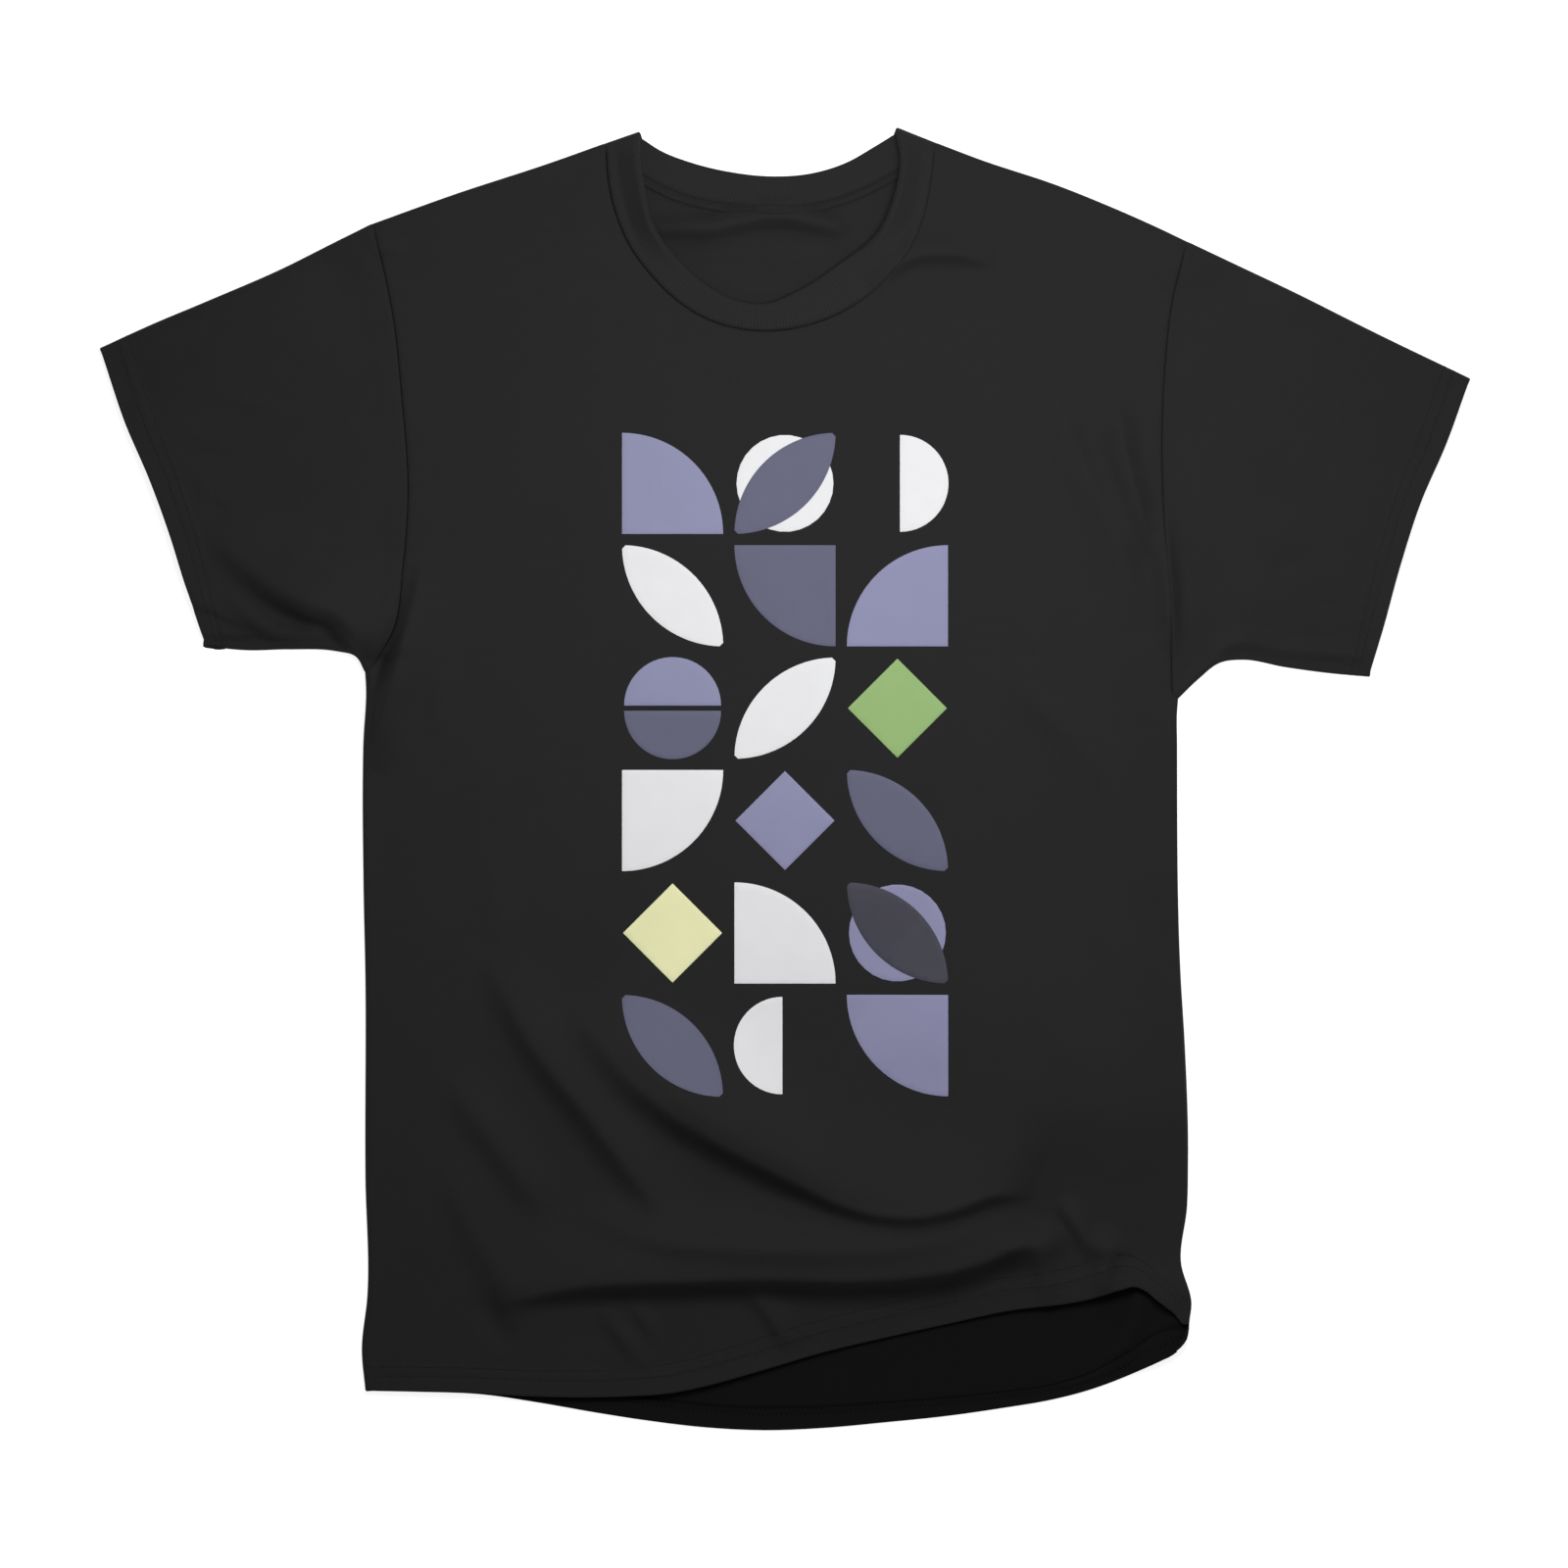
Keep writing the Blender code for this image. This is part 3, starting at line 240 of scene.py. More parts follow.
# Folds of the front layer: crest points (x, y, rise), then how far the rise spreads to the left and to the
# right of the crest as it is travelled. A short spread is the steep side of a crease. A fourth number at a
# point scales the right spread there.
folds = {
    "chestToHem": ([
        (-122, -124, 0, 1.5), (-106, -143, 7.5, 1.45), (-88.5, -164.5, 12.5, 1.4),
        (-66.5, -183.5, 15, 1.3), (-34, -204, 15.5, 1.15), (8, -225.5, 15.5, 1), (34, -237.5, 15.5, 0.95),
        (56, -242.5, 15.5, 0.92), (78, -242.5, 16, 0.9), (100, -237, 16, 0.88), (114, -232, 14, 0.85),
        (126, -230.8, 9, 0.85), (134, -231.5, 3.5, 0.85), (140, -233, 0, 0.85)], 42, 7.6),
    "chestShoulder": ([
        (-112, -128, 0), (-66, -172, 2.6), (-30, -196, 3.2), (10, -216.5, 3.4), (36, -228, 3),
        (70, -233, 2), (110, -226, 0)], 30, 9),
    "rollBelow": ([
        (-118, -238, 0), (-96, -249, 3.4), (-70, -257, 6.4), (-30, -260.5, 7.6), (20, -262, 7.6),
        (60, -260.5, 7), (92, -254.5, 5), (112, -248, 3), (130, -243, 0)], 15, 8.5),
    "aboveTheHem": ([
        (-162, -294, 0), (-142, -288.5, 8), (-114, -283.4, 14), (-60, -280.4, 17), (-10, -279, 18),
        (36, -280, 18.5), (70, -278, 19), (94, -274.5, 19), (114, -268, 16.5), (130, -259.5, 10),
        (144, -251, 0)], 30, 6.2),
    "endOfTheRoll": ([(-178, -294, 0), (-164, -301, -2.4), (-160, -312, -2.2), (-160, -322, 0)], 8, 8),
    "besideThePrint": ([
        (-166, -94, 0), (-158, -115, 4), (-149, -133, 7.5), (-135, -156, 9.5), (-114, -182, 10.5),
        (-96, -206, 10), (-77, -230, 7.5), (-55, -252, 0)], 20, 9),
    "rightSideUpper": ([
        (-190, -162, 0), (-176, -185, 4), (-162, -204, 5.5), (-144, -228, 4.5), (-130, -246, 0)], 14, 9),
    "rightSideLower": ([
        (-190, -212, 0), (-181, -238, 3.4), (-168, -266, 4.6), (-158, -290, 4), (-150, -314, 0)], 15, 9),
    "liftedHem": ([
        (-120, -346, 0), (-40, -338, -1), (22, -321, -2.6), (90, -305.5, -2.4), (140, -297.5, -1.6),
        (174, -291, 0.6), (194, -286, 3.4), (208, -292, 3.4), (219, -301, 0)], 15, 60),
    "aboveTheRightHem": ([
        (50, -120, 0), (104, -150, 7), (146, -168, 12), (186, -180, 13), (220, -184, 9)], 80, 46),
    "rightArmpit": ([
        (-200, 124, 0), (-204.5, 108, 6), (-209, 88, 12), (-217.5, 61, 17), (-223.5, 43, 14),
        (-231, 4, 0)], 16, 6.4),
    "rightArmpitOuter": ([
        (-215, 120, 0), (-221, 96, 2.6), (-227.5, 78, 4.6), (-233.6, 62, 5), (-236, 46, 4),
        (-237, 16, 0)], 4, 5),
    "rightArmpitInner": ([(-186, 100, 0), (-191, 76, 3), (-195, 50, 3.6), (-200, 20, 0)], 10, 6),
    "leftWaistUpper": ([
        (122, 66, 0), (138, 46, 2.2), (156, 28, 3.6), (172, 10, 3.6), (186, -14, 3.2), (200, -58, 2.2),
        (208, -92, 0)], 18, 8),
    "leftWaistLower": ([
        (166, -30, 0), (173, -58, 1.8), (180, -84, 2), (186, -112, 1.6), (190, -140, 0)], 12, 7),
    "leftChestInner": ([
        (146, 226, 0), (154, 207, 3.6), (164, 180, 5.4), (178, 154, 6.4), (188, 128, 6),
        (202, 84, 0)], 6, 12),
    "leftChestOuter": ([
        (185, 218, 0), (188, 200, 6), (192, 176, 9.5), (199, 150, 9.5), (205, 124, 0)], 5, 10),
    "leftArmholeRidge": ([
        (211.5, 158, 0), (213, 138, 4), (214.6, 116, 8), (216, 95, 8), (217.4, 68, 0)], 4.6, 7),
    "leftOfTheNeck": ([
        (50, 274, 0), (62, 287.5, 6), (73, 292.5, 8), (88, 294.2, 8), (104, 292.4, 6),
        (118, 288, 0)], 11, 4.0),
    "belowTheNeck": ([(42, 250, 0), (56, 236, 1.2), (72, 216, 1.3), (86, 200, 0)], 14, 9),
    "rightShoulder": ([(-206, 330, 0), (-186, 331, 1.6), (-150, 339, 1.8), (-118, 350, 0)], 8, 7),
    "leftShoulder": ([(112, 340, 0), (140, 326, 1.6), (168, 313, 2), (196, 298, 0)], 10, 14),
    "rightSleeveFold": ([
        (-326, 143, 0), (-310, 127, 4.5), (-293, 112, 9), (-276, 103, 14), (-264, 97, 17.5),
        (-251, 93, 18), (-243.5, 86, 17.5), (-239.5, 77, 13), (-238, 66, 0)], 26, 7.4),
    "rightSleeveBelow": ([
        (-318, 110, 0), (-304, 95, 2.4), (-290, 84, 5.6), (-276, 79.6, 8), (-262, 78.4, 8.4),
        (-252, 76.6, 5), (-246, 73, 0)], 6, 4.2),
    "rightSleeveLip": ([
        (-300, 109, 0), (-284, 100, 3), (-268, 94, 4.6), (-256, 89.8, 4.6), (-246, 80, 3.6),
        (-240, 70, 0)], 10, 3.6),
    "rightSleeveUpper": ([
        (-360, 222, 0), (-340, 236, 2), (-310, 250, 3), (-280, 262, 2.6), (-248, 272, 0)], 8, 24),
    "rightSleeveWrinkleA": ([(-322, 216, 0), (-306, 212, 1.2), (-292, 208, 1.4), (-276, 204, 0)], 7, 3.6),
    "rightSleeveWrinkleB": ([(-342, 197, 0), (-326, 190, 1.2), (-312, 186, 1.2), (-296, 184, 0)], 6, 3.6),
    "rightSleeveWrinkleC": ([(-336, 172, 0), (-322, 161, 1.4), (-310, 155, 1.4), (-298, 152, 0)], 6, 4),
    "rightSleeveTop": ([
        (-376, 233, 0), (-360, 242, 2.8), (-330, 255.5, 3.6), (-298, 269.5, 3.6), (-268, 282.5, 2.8),
        (-248, 291, 0)], 7, 9),
    "rightSleeveHead": ([(-258, 292, 0), (-246, 292.5, 3), (-236, 292, 3.6), (-226, 291, 0)], 7, 8),
    "rightSleevePinch": ([(-237, 295.6, 0), (-229, 296.8, 3.6), (-221, 297, 3.6), (-213, 295.6, 0)], 7, 3),
    "rightCuffLayer": ([
        (-336, 99.5, 0), (-331.5, 98.2, 1.6), (-321, 94.6, 2), (-308, 88.4, 2), (-290, 83.6, 1.2),
        (-276, 82, 0)], 9, 1.6),
    "rightUnderarmRoll": ([
        (-331, 77.4, 0), (-326, 77.4, -2.6), (-300, 77.6, -3), (-270, 77.6, -2.8), (-248, 77.6, -2),
        (-243, 76, 0)], 1.7, 1.5),
    "leftSleeveFold": ([
        (240, 150, 0), (252, 122, 1.8), (272, 102, 2.4), (300, 92, 2), (326, 88, 0)], 20, 14),
    "leftSleeveTop": ([
        (258, 280, 0), (282, 268, 2.8), (304, 257.5, 3.2), (326, 246, 2.6), (346, 236, 0)], 6, 8),
    "leftSleeveOuter": ([(318, 244, 0), (338, 236, 2), (358, 227, 2), (374, 220, 0)], 6, 12),
    "leftSleeveHead": ([(190, 297, 0), (206, 291, 3), (226, 285.5, 3.8), (246, 279, 0)], 10, 8),
    "leftSleeveDipA": ([(284, 104, 0), (296, 99, -2), (310, 97, -2), (322, 98, 0)], 7, 7),
    "leftSleeveDipB": ([(270, 114, 0), (280, 119, -1.6), (292, 124, -1.6), (304, 127, 0)], 7, 7),
    "leftSleeveUpper": ([(236, 268, 0), (262, 262, 1.5), (296, 246, 1.6), (330, 226, 0)], 18, 16),
    "leftArmpitRoll": ([(222, 40, 0), (226.5, 47, 3), (233, 55, 4), (241, 63, 3.4), (250, 70, 0)], 5, 2.6),
    "leftUnderarmOne": ([
        (238, 67, 0), (246, 73, 4.4), (256, 76.4, 6), (266, 75.4, 4.6), (278, 73, 0)], 6, 3),
    "leftUnderarmTwo": ([
        (266, 73, 0), (280, 72, 4), (296, 70.8, 5.2), (312, 69.6, 4.8), (328, 67, 0)], 5, 3),
    "rightCuffLift": ([
        (-376, 214, 0), (-364, 188, 2), (-350, 154, 2.6), (-338, 118, 2), (-330, 92, 0)], 36, 36),
    "leftCuffLift": ([(333, 78, 0), (341, 108, 2), (352, 146, 2.6), (367, 182, 2), (378, 210, 0)], 36, 36),
    "puckerOne": ([(-104, -294, 0), (-96, -306, 3), (-86, -319, 2.8), (-78, -332, 0)], 6, 5),
    "puckerTwo": ([(-88, -291, 0), (-79, -303, 2.8), (-70, -318, 0)], 5, 4),
    "puckerThree": ([(-24, -285, 0), (-13, -295, 4.2), (-4, -308, 4), (4, -322, 0)], 9, 4),
    "puckerFour": ([
        (116, -263, 0), (126, -263.5, 6.5), (137, -263, 10), (147, -258, 8), (155, -250, 0)], 8, 9),
    "puckerFourEnd": ([(141, -256, 0), (144, -268, 4), (146, -282, 4.6), (147, -300, 0)], 7, 5),
    "puckerFive": ([(154, -234, 0), (161, -247, 6), (168, -258, 5.4), (175, -269, 0)], 8, 4.6),
    "puckerSix": ([(181, -250, 0), (180.5, -264, 4.6), (179.5, -278, 5.4), (178, -292, 0)], 4.6, 6.5),
    "puckerSixTop": ([(169, -257, 0), (177, -262, 3), (185, -263, 4.4), (193, -259, 0)], 7, 8),
    "besideThePrintUpper": ([(-172, -28, 0), (-165, -56, 1.3), (-160, -84, 1.3), (-158, -112, 0)], 12, 7),
}

backFolds = {
    "leftHemCorner": ([
        (229, -225, 0), (226, -262, 2.5), (222, -290, 5.5), (217, -312, 6.5), (212, -326, 6)], 22, 14),
    "backHemCrease": ([
        (197, -280, 0), (197.6, -292, 4.4), (196.6, -304, 5), (192, -316, 3), (180, -326, 0)], 7, 2.6),
    "insideTheNeck": ([
        (-84, 309, 0), (-70, 309, 6), (-56, 309, 11), (-44, 308.8, 13), (-24, 312.5, 13.5),
        (-6, 315.4, 14), (13, 312.8, 12.5), (26, 310, 8), (37, 306.5, 0)], 5.5, 5.4),
    "neckHollow": ([(-48, 296, 0), (-30, 297, 2.6), (-6, 297, 3.4), (14, 297, 2.6), (30, 296, 0)], 8, 9),
}


def raised(xy, fold):
    crest, left, right = fold
    line = throughPoints(crest, 4.0)
    plan = line[:, :2]
    along = lengths(plan)
    far, place, side = nearest(xy, plan, 3.6 * max(left, right))
    softer = np.interp(place, along, line[:, 3]) if line.shape[1] > 3 else 1.0
    spread = np.where(side > 0, left, right * softer)
    return np.interp(place, along, line[:, 2]) * np.exp(-(far / spread) ** 2) * (far < 2.5 * spread)


def backUnder(xy):
    # underside of the back layer
    return sum(raised(xy, fold) for fold in backFolds.values())


foldedEdges = [line.start for line in (sideL, underL, topL, shoulderL, shoulderR, topR, underR, sideR)]
unevenness = [(0.55, 95, 3), (0.22, 38, 8), (0.07, 15, 5)]      # height, size and seed of slight waves


def frontBase(xy):
    # top of the front layer, before its seams and hems
    edge = np.min([nearest(xy, line, cloth["loftWithin"])[0] for line in foldedEdges], axis=0)
    z = cloth["edgeLoft"] + (cloth["loft"] - cloth["edgeLoft"]) * easeIn(edge, 0, cloth["loftWithin"])
    z = z + raised(xy, backFolds["leftHemCorner"]) + sum(raised(xy, fold) for fold in folds.values())
    return z + easeIn(edge, 0, 14) * sum(height * waves(xy, size, seed) for height, size, seed in unevenness)


seamShape = {"dip": 0.85, "width": 1.1, "puckers": 0.22, "puckerLength": 11.0, "puckerReach": 7.0,
             "neckFlatter": 0.8, "neckFrom": (20, 60)}     # the neck's seam lies flatter at the left


def seamDip(xy, line, seed, fade=1.0):
    # groove where two pieces are sewn, with small puckers along it
    at = seamShape
    far, place, side = nearest(xy, line, 3 * at["puckerReach"])
    phase = 2 * math.pi * place / at["puckerLength"] + 1.3 * np.sin(place / 17 + seed)
    ripple = np.sin(phase + seed + side)
    return (-at["dip"] * fade * np.exp(-(far / at["width"]) ** 2)
            + at["puckers"] * ripple * np.exp(-(far / at["puckerReach"]) ** 2))


hemShape = {"ply": 0.4, "groove": 0.2, "grooveWidth": 0.9, "ripple": 0.12, "rippleLength": 9.0,
            "backAtLeft": 0.95}     # how far up the left fold a row of the back's stitches ends


def hemRise(xy, line, depth):
    # the turned-up layer lifts the cloth, and the two rows of stitches pull it down
    at = hemShape
    far, place, _ = nearest(xy, line, depth + 14)
    z = at["ply"] * (1 - easeIn(far, depth - 0.4, depth + 1.2))
    for row in cloth["hemRows"]:
        z = z - at["groove"] * np.exp(-((far - row) / at["grooveWidth"]) ** 2)
    ripple = np.sin(2 * math.pi * (place + 0.8 * far) / at["rippleLength"] + 2 * np.sin(place / 31))
    return z + at["ripple"] * ripple * (1 - easeIn(far, depth - 2, depth + 10)) * easeIn(far, 0, 5)


def frontTop(xy):
    neckFade = 1 - seamShape["neckFlatter"] * easeIn(xy[:, 0], *seamShape["neckFrom"])
    z = frontBase(xy) + hemRise(xy, frontHem, cloth["hemDepth"])
    z = z + seamDip(xy, armholeL, 0) + seamDip(xy, armholeR, 1) + seamDip(xy, frontNeck, 2, neckFade)
    return z + hemRise(xy, cuffL, cloth["cuffDepth"]) + hemRise(xy, cuffR, cloth["cuffDepth"])


class Wire:
    # a socket that can be used in sums
    def __init__(self, look, socket):
        self.look, self.socket = look, socket

    def maths(self, operation, a, b=0.0):
        return self.look.add("ShaderNodeMath", {"operation": operation}, {0: a, 1: b})

    def __add__(self, other):
        return self.maths("ADD", self, other)

    def __sub__(self, other):
        return self.maths("SUBTRACT", self, other)

    def __rsub__(self, other):
        return self.maths("SUBTRACT", other, self)

    def __mul__(self, other):
        return self.maths("MULTIPLY", self, other)

    def __truediv__(self, other):
        return self.maths("DIVIDE", self, other)

    def __pow__(self, other):
        return self.maths("POWER", self, other)

    __radd__ = __add__
    __rmul__ = __mul__

    def of(self, operation):
        return self.maths(operation, self)


class Look:
    # one material and the nodes that feed its shader
    def __init__(self, name, roughness, **fixed):
        self.material = bpy.data.materials.new(name)
        self.material.use_nodes = True
        self.tree = self.material.node_tree
        self.shader = self.tree.nodes["Principled BSDF"]
        self.shader.inputs["Roughness"].default_value = roughness
        for socket, value in fixed.items():
            self.shader.inputs[socket.replace("_", " ")].default_value = value

    def add(self, kind, settings, sockets, output=0):
        node = self.tree.nodes.new(kind)
        for name, value in settings.items():
            setattr(node, name, value)
        for name, value in sockets.items():
            self.join(value, node.inputs[name])
        return Wire(self, node.outputs[output])

    def join(self, value, socket):
        if isinstance(value, Wire):
            self.tree.links.new(value.socket, socket)
        else:
            socket.default_value = value

    def feed(self, name, value):
        self.join(value, self.shader.inputs[name])

    def mixed(self, factor, a, b):
        # the colour sockets of a Mix node are 6 and 7, and its colour output is 2
        return self.add("ShaderNodeMix", {"data_type": "RGBA"}, {0: factor, 6: a, 7: b}, 2)

    def clothPlace(self):
        # place on the flat cloth in millimetres: across the knit's wales, and along them
        place = self.add("ShaderNodeAttribute", {"attribute_name": "clothPlace"}, {}, "Vector")
        return place, *(self.add("ShaderNodeSeparateXYZ", {}, {"Vector": place}, k) for k in (0, 1))

    def noise(self, place, stretch, scale, detail=3.0):
        spread = self.add("ShaderNodeMapping", {}, {"Vector": place, "Scale": stretch})
        return self.add("ShaderNodeTexNoise", {}, {"Vector": spread, "Scale": scale, "Detail": detail}, "Fac")

    def bump(self, height, distance, strength=1.0):
        sockets = {"Height": height, "Distance": distance, "Strength": strength}
        self.feed("Normal", self.add("ShaderNodeBump", {}, sockets))


def plain(colour, factor=1.0):
    return (*[c * factor for c in colour], 1)


jerseyLook = {"colour": (0.0100, 0.0100, 0.0102), "roughness": 0.92, "wale": 0.86, "course": 0.66,
              "slub": 0.16, "patch": 0.10, "fuzz": 0.25, "darkest": 0.55, "palest": 1.45,
              "knitDepth": 0.00012, "sheen": 0.015, "gloss": 0.06}


def knitHeight(u, v, wale, course):
    # two slanting legs of each stitch, side by side in a wale
    across = (u / wale).of("FRACT")
    fromMiddle = (across - 0.5).of("ABSOLUTE") * 2
    leg = 1 - ((fromMiddle - 0.5).of("ABSOLUTE") * 2) ** 2.0
    turn = ((v / course + fromMiddle * 0.75) * (2 * math.pi)).of("COSINE") * 0.5 + 0.5
    return leg * (turn * 0.4 + 0.6)


def makeJersey():
    at = jerseyLook
    look = Look("blackJersey", at["roughness"], Specular_IOR_Level=at["gloss"], Sheen_Weight=at["sheen"],
                Sheen_Roughness=0.5)
    place, u, v = look.clothPlace()
    slub = look.noise(place, (0.05, 1.0, 1.0), 0.8, 4)      # uneven yarn: faint lines along the courses
    patch = look.noise(place, (1.0, 0.6, 1.0), 0.03, 3)
    fuzz = look.noise(place, (1.0, 1.0, 1.0), 2.2, 5)
    shade = look.add("ShaderNodeAttribute", {"attribute_name": "shade"}, {}, "Fac")
    tone = (slub - 0.5) * at["slub"] + (patch - 0.5) * at["patch"] + (fuzz - 0.5) * at["fuzz"] + 0.5
    yarn = look.mixed(tone, plain(at["colour"], at["darkest"]), plain(at["colour"], at["palest"]))
    # the shade attribute paints shade into the yarn's colour: at 1 the colour stays, towards 0 it goes black
    look.feed("Base Color", look.mixed(shade, plain(at["colour"], 0.0), yarn))
    look.bump(knitHeight(u, v, at["wale"], at["course"]) * 0.7 + fuzz * 0.5 + slub * 0.5, at["knitDepth"])
    return look.material


ribLook = {"colour": (0.0100, 0.0100, 0.0102), "roughness": 0.9, "rib": 1.75, "course": 0.7, "depth": 0.00014,
           "sheen": 0.015, "gloss": 0.06, "darkest": 0.5, "palest": 1.45}


def makeRib():
    at = ribLook
    look = Look("blackRib", at["roughness"], Specular_IOR_Level=at["gloss"], Sheen_Weight=at["sheen"],
                Sheen_Roughness=0.5)
    place, u, v = look.clothPlace()
    fuzz = look.noise(place, (1.0, 1.0, 1.0), 2.0, 4)
    ribs = ((u * (2 * math.pi / at["rib"])).of("COSINE") * 0.5 + 0.5) ** 0.7
    # paler on the ribs' crests and darker between them: painted shade in the rib's valleys, over a random
    # fuzz tone
    tone = ribs * 0.25 + (fuzz - 0.5) * 0.3 + 0.4
    dark, pale = (plain(at["colour"], at[end]) for end in ("darkest", "palest"))
    look.feed("Base Color", look.mixed(tone, dark, pale))
    look.bump(ribs + knitHeight(u, v, at["rib"] / 2, at["course"]) * 0.25 + fuzz * 0.2, at["depth"])
    return look.material


threadLook = {"colour": (0.0075, 0.0075, 0.0078), "roughness": 0.75, "gloss": 0.12, "twist": 0.5,
              "depth": 0.00004, "darkest": 0.7, "palest": 1.3}


def makeThread(name, light):
    # light is the share of the look's brightness that is left; below 1 it paints shade into the thread's
    # colour and gloss
    at = threadLook
    look = Look(name, at["roughness"], Specular_IOR_Level=at["gloss"] * light)
    place, u, v = look.clothPlace()
    twist = ((u * (2 * math.pi / at["twist"]) + v * 6).of("SINE")) * 0.5 + 0.5
    dark, pale = (plain(at["colour"], at[end] * light) for end in ("darkest", "palest"))
    # the colour follows the twist, paler on its crests and darker in its grooves: painted shade
    look.feed("Base Color", look.mixed(twist, dark, pale))
    look.bump(twist, at["depth"])
    return look.material


inks = {
    "white": (0.40, 0.40, 0.41), "lavender": (0.122, 0.122, 0.200), "slate": (0.051, 0.051, 0.086),
    "navy": (0.017, 0.0165, 0.027), "cream": (0.42, 0.42, 0.240), "green": (0.140, 0.225, 0.077),
}
inkLook = {"roughness": 0.62, "gloss": 0.25, "weaveThrough": 0.00005, "unevenness": 0.12}


def makeInk(name):
    at, colour = inkLook, inks[name]
    look = Look(name + "Ink", at["roughness"], Specular_IOR_Level=at["gloss"])
    place, u, v = look.clothPlace()
    speck = look.noise(place, (1.0, 1.0, 1.0), 1.4, 5)
    patch = look.noise(place, (1.0, 1.0, 1.0), 0.06, 2)
    thin = (speck - 0.5) * 0.3 + (patch - 0.5) * 0.25 + 0.5
    dark, pale = (plain(colour, 1 + way * at["unevenness"]) for way in (-1, 1))
    look.feed("Base Color", look.mixed(thin, dark, pale))
    weave = knitHeight(u, v, jerseyLook["wale"], jerseyLook["course"])
    look.bump(weave + speck * 0.4, at["weaveThrough"])
    return look.material


jersey, rib = makeJersey(), makeRib()
# the loopers inside the hems use a copy painted a quarter as bright, a painted shade for where they lie
thread, shadedThread = makeThread("blackThread", 1.0), makeThread("shadedThread", 0.25)
print("materials ready")


def pointNormals(points, faces):
    normals = np.zeros_like(points)
    for group in faces:
        corner = [points[group[:, k]] for k in range(group.shape[1])]
        if len(corner) == 3:
            across = np.cross(corner[1] - corner[0], corner[2] - corner[0])
        else:
            across = np.cross(corner[2] - corner[0], corner[3] - corner[1])
        for k in range(len(corner)):
            np.add.at(normals, group[:, k], across)
    size = np.linalg.norm(normals, axis=1)
    return normals / np.where(size > 0, size, 1)[:, None]


def rimOf(faces):
    # directed edges that only one face has
    pairs = np.concatenate([np.column_stack([group[:, k], group[:, (k + 1) % group.shape[1]]])
                            for group in faces if len(group) for k in range(group.shape[1])])
    most = int(pairs.max()) + 1
    there, back = pairs[:, 0] * most + pairs[:, 1], pairs[:, 1] * most + pairs[:, 0]
    return pairs[~np.isin(there, back)]


def addMesh(name, points, faces, look, clothPlace, shade=None):
    triangles = [g if g.shape[1] == 3 else g[:, [0, 1, 2]] for g in faces if len(g)]
    triangles += [g[:, [0, 2, 3]] for g in faces if len(g) and g.shape[1] == 4]
    corners = points[np.concatenate(triangles)]
    if np.einsum("ij,ij->i", corners[:, 0], np.cross(corners[:, 1], corners[:, 2])).sum() < 0:
        faces = [g[:, ::-1] for g in faces]
    mesh = bpy.data.meshes.new(name)
    mesh.from_pydata((points * mm).tolist(), [], [f for g in faces for f in g.tolist()])
    mesh.shade_smooth()
    mesh.materials.append(look)
    held = mesh.attributes.new("clothPlace", "FLOAT_VECTOR", "POINT")
    spots = np.column_stack([clothPlace, np.zeros(len(points))])
    held.data.foreach_set("vector", spots.astype(np.float32).ravel())
    if shade is not None:
        mesh.attributes.new("shade", "FLOAT", "POINT").data.foreach_set("value", shade.astype(np.float32))
    piece = bpy.data.objects.new(name, mesh)
    bpy.context.scene.collection.objects.link(piece)
    return piece


def addShell(name, outer, faces, wall, look, clothPlace, paintedInnerShade=None, rimRows=3, bulge=1.0):
    # a cloth wall: the outer face, an inner one a wall behind it, and a rounded rim
    faces = [np.asarray(group) for group in faces if len(group)]
    count = len(outer)
    normals = pointNormals(outer, faces)
    inner = outer - normals * np.broadcast_to(wall, count)[:, None]
    rim = rimOf(faces)
    used = np.unique(rim)
    rank = np.full(count, -1)
    rank[used] = np.arange(len(used))
    onward, behind = np.zeros(len(used), int), np.zeros(len(used), int)
    onward[rank[rim[:, 0]]], behind[rank[rim[:, 1]]] = rim[:, 1], rim[:, 0]
    out = np.cross(outer[onward] - outer[behind], normals[used])
    out /= np.maximum(np.linalg.norm(out, axis=1), 1e-9)[:, None]
    middle, half = (outer[used] + inner[used]) / 2, (outer[used] - inner[used]) / 2
    reach = np.linalg.norm(half, axis=1)[:, None] * bulge
    rows, ring = [], [used]
    for row in range(rimRows):
        turn = math.pi * (row + 1) / (rimRows + 1)
        rows.append(middle + half * math.cos(turn) + out * reach * math.sin(turn))
        ring.append(2 * count + row * len(used) + np.arange(len(used)))
    ring.append(used + count)
    a, b = rank[rim[:, 0]], rank[rim[:, 1]]
    sides = [np.column_stack([near[b], near[a], far[a], far[b]]) for near, far in zip(ring, ring[1:])]
    points = np.concatenate([outer, inner] + rows)
    place = np.concatenate([clothPlace, clothPlace] + [clothPlace[used]] * rimRows)
    shade = np.ones(len(points))
    # paintedInnerShade paints shade into the colour of the inner face and its rim
    if paintedInnerShade is not None:
        shade[count:2 * count] = paintedInnerShade
        shade[2 * count:] = np.tile(paintedInnerShade[used], rimRows)
    lining = [group[:, ::-1] + count for group in faces]
    return addMesh(name, points, faces + lining + sides, look, place, shade)


def addStrip(name, points, place, wall, look, closed=True, upside=slice(None), up=(0, 0, 1)):
    # a cloth wall from rows of points. The outer face looks up at the columns in upside of the first row
    rows, width = points.shape[:2]
    grid = np.arange(rows * width).reshape(rows, width)
    ahead = np.roll(grid, -1, axis=1)
    corners = [grid[:-1], ahead[:-1], ahead[1:], grid[1:]]
    quads = np.column_stack([(c if closed else c[:, :-1]).ravel() for c in corners])
    outer = points.reshape(-1, 3)
    if (pointNormals(outer, [quads])[grid[0, upside]] * up).sum() < 0:
        quads = quads[:, ::-1]
    return addShell(name, outer, [quads], wall, look, place.reshape(-1, 2))


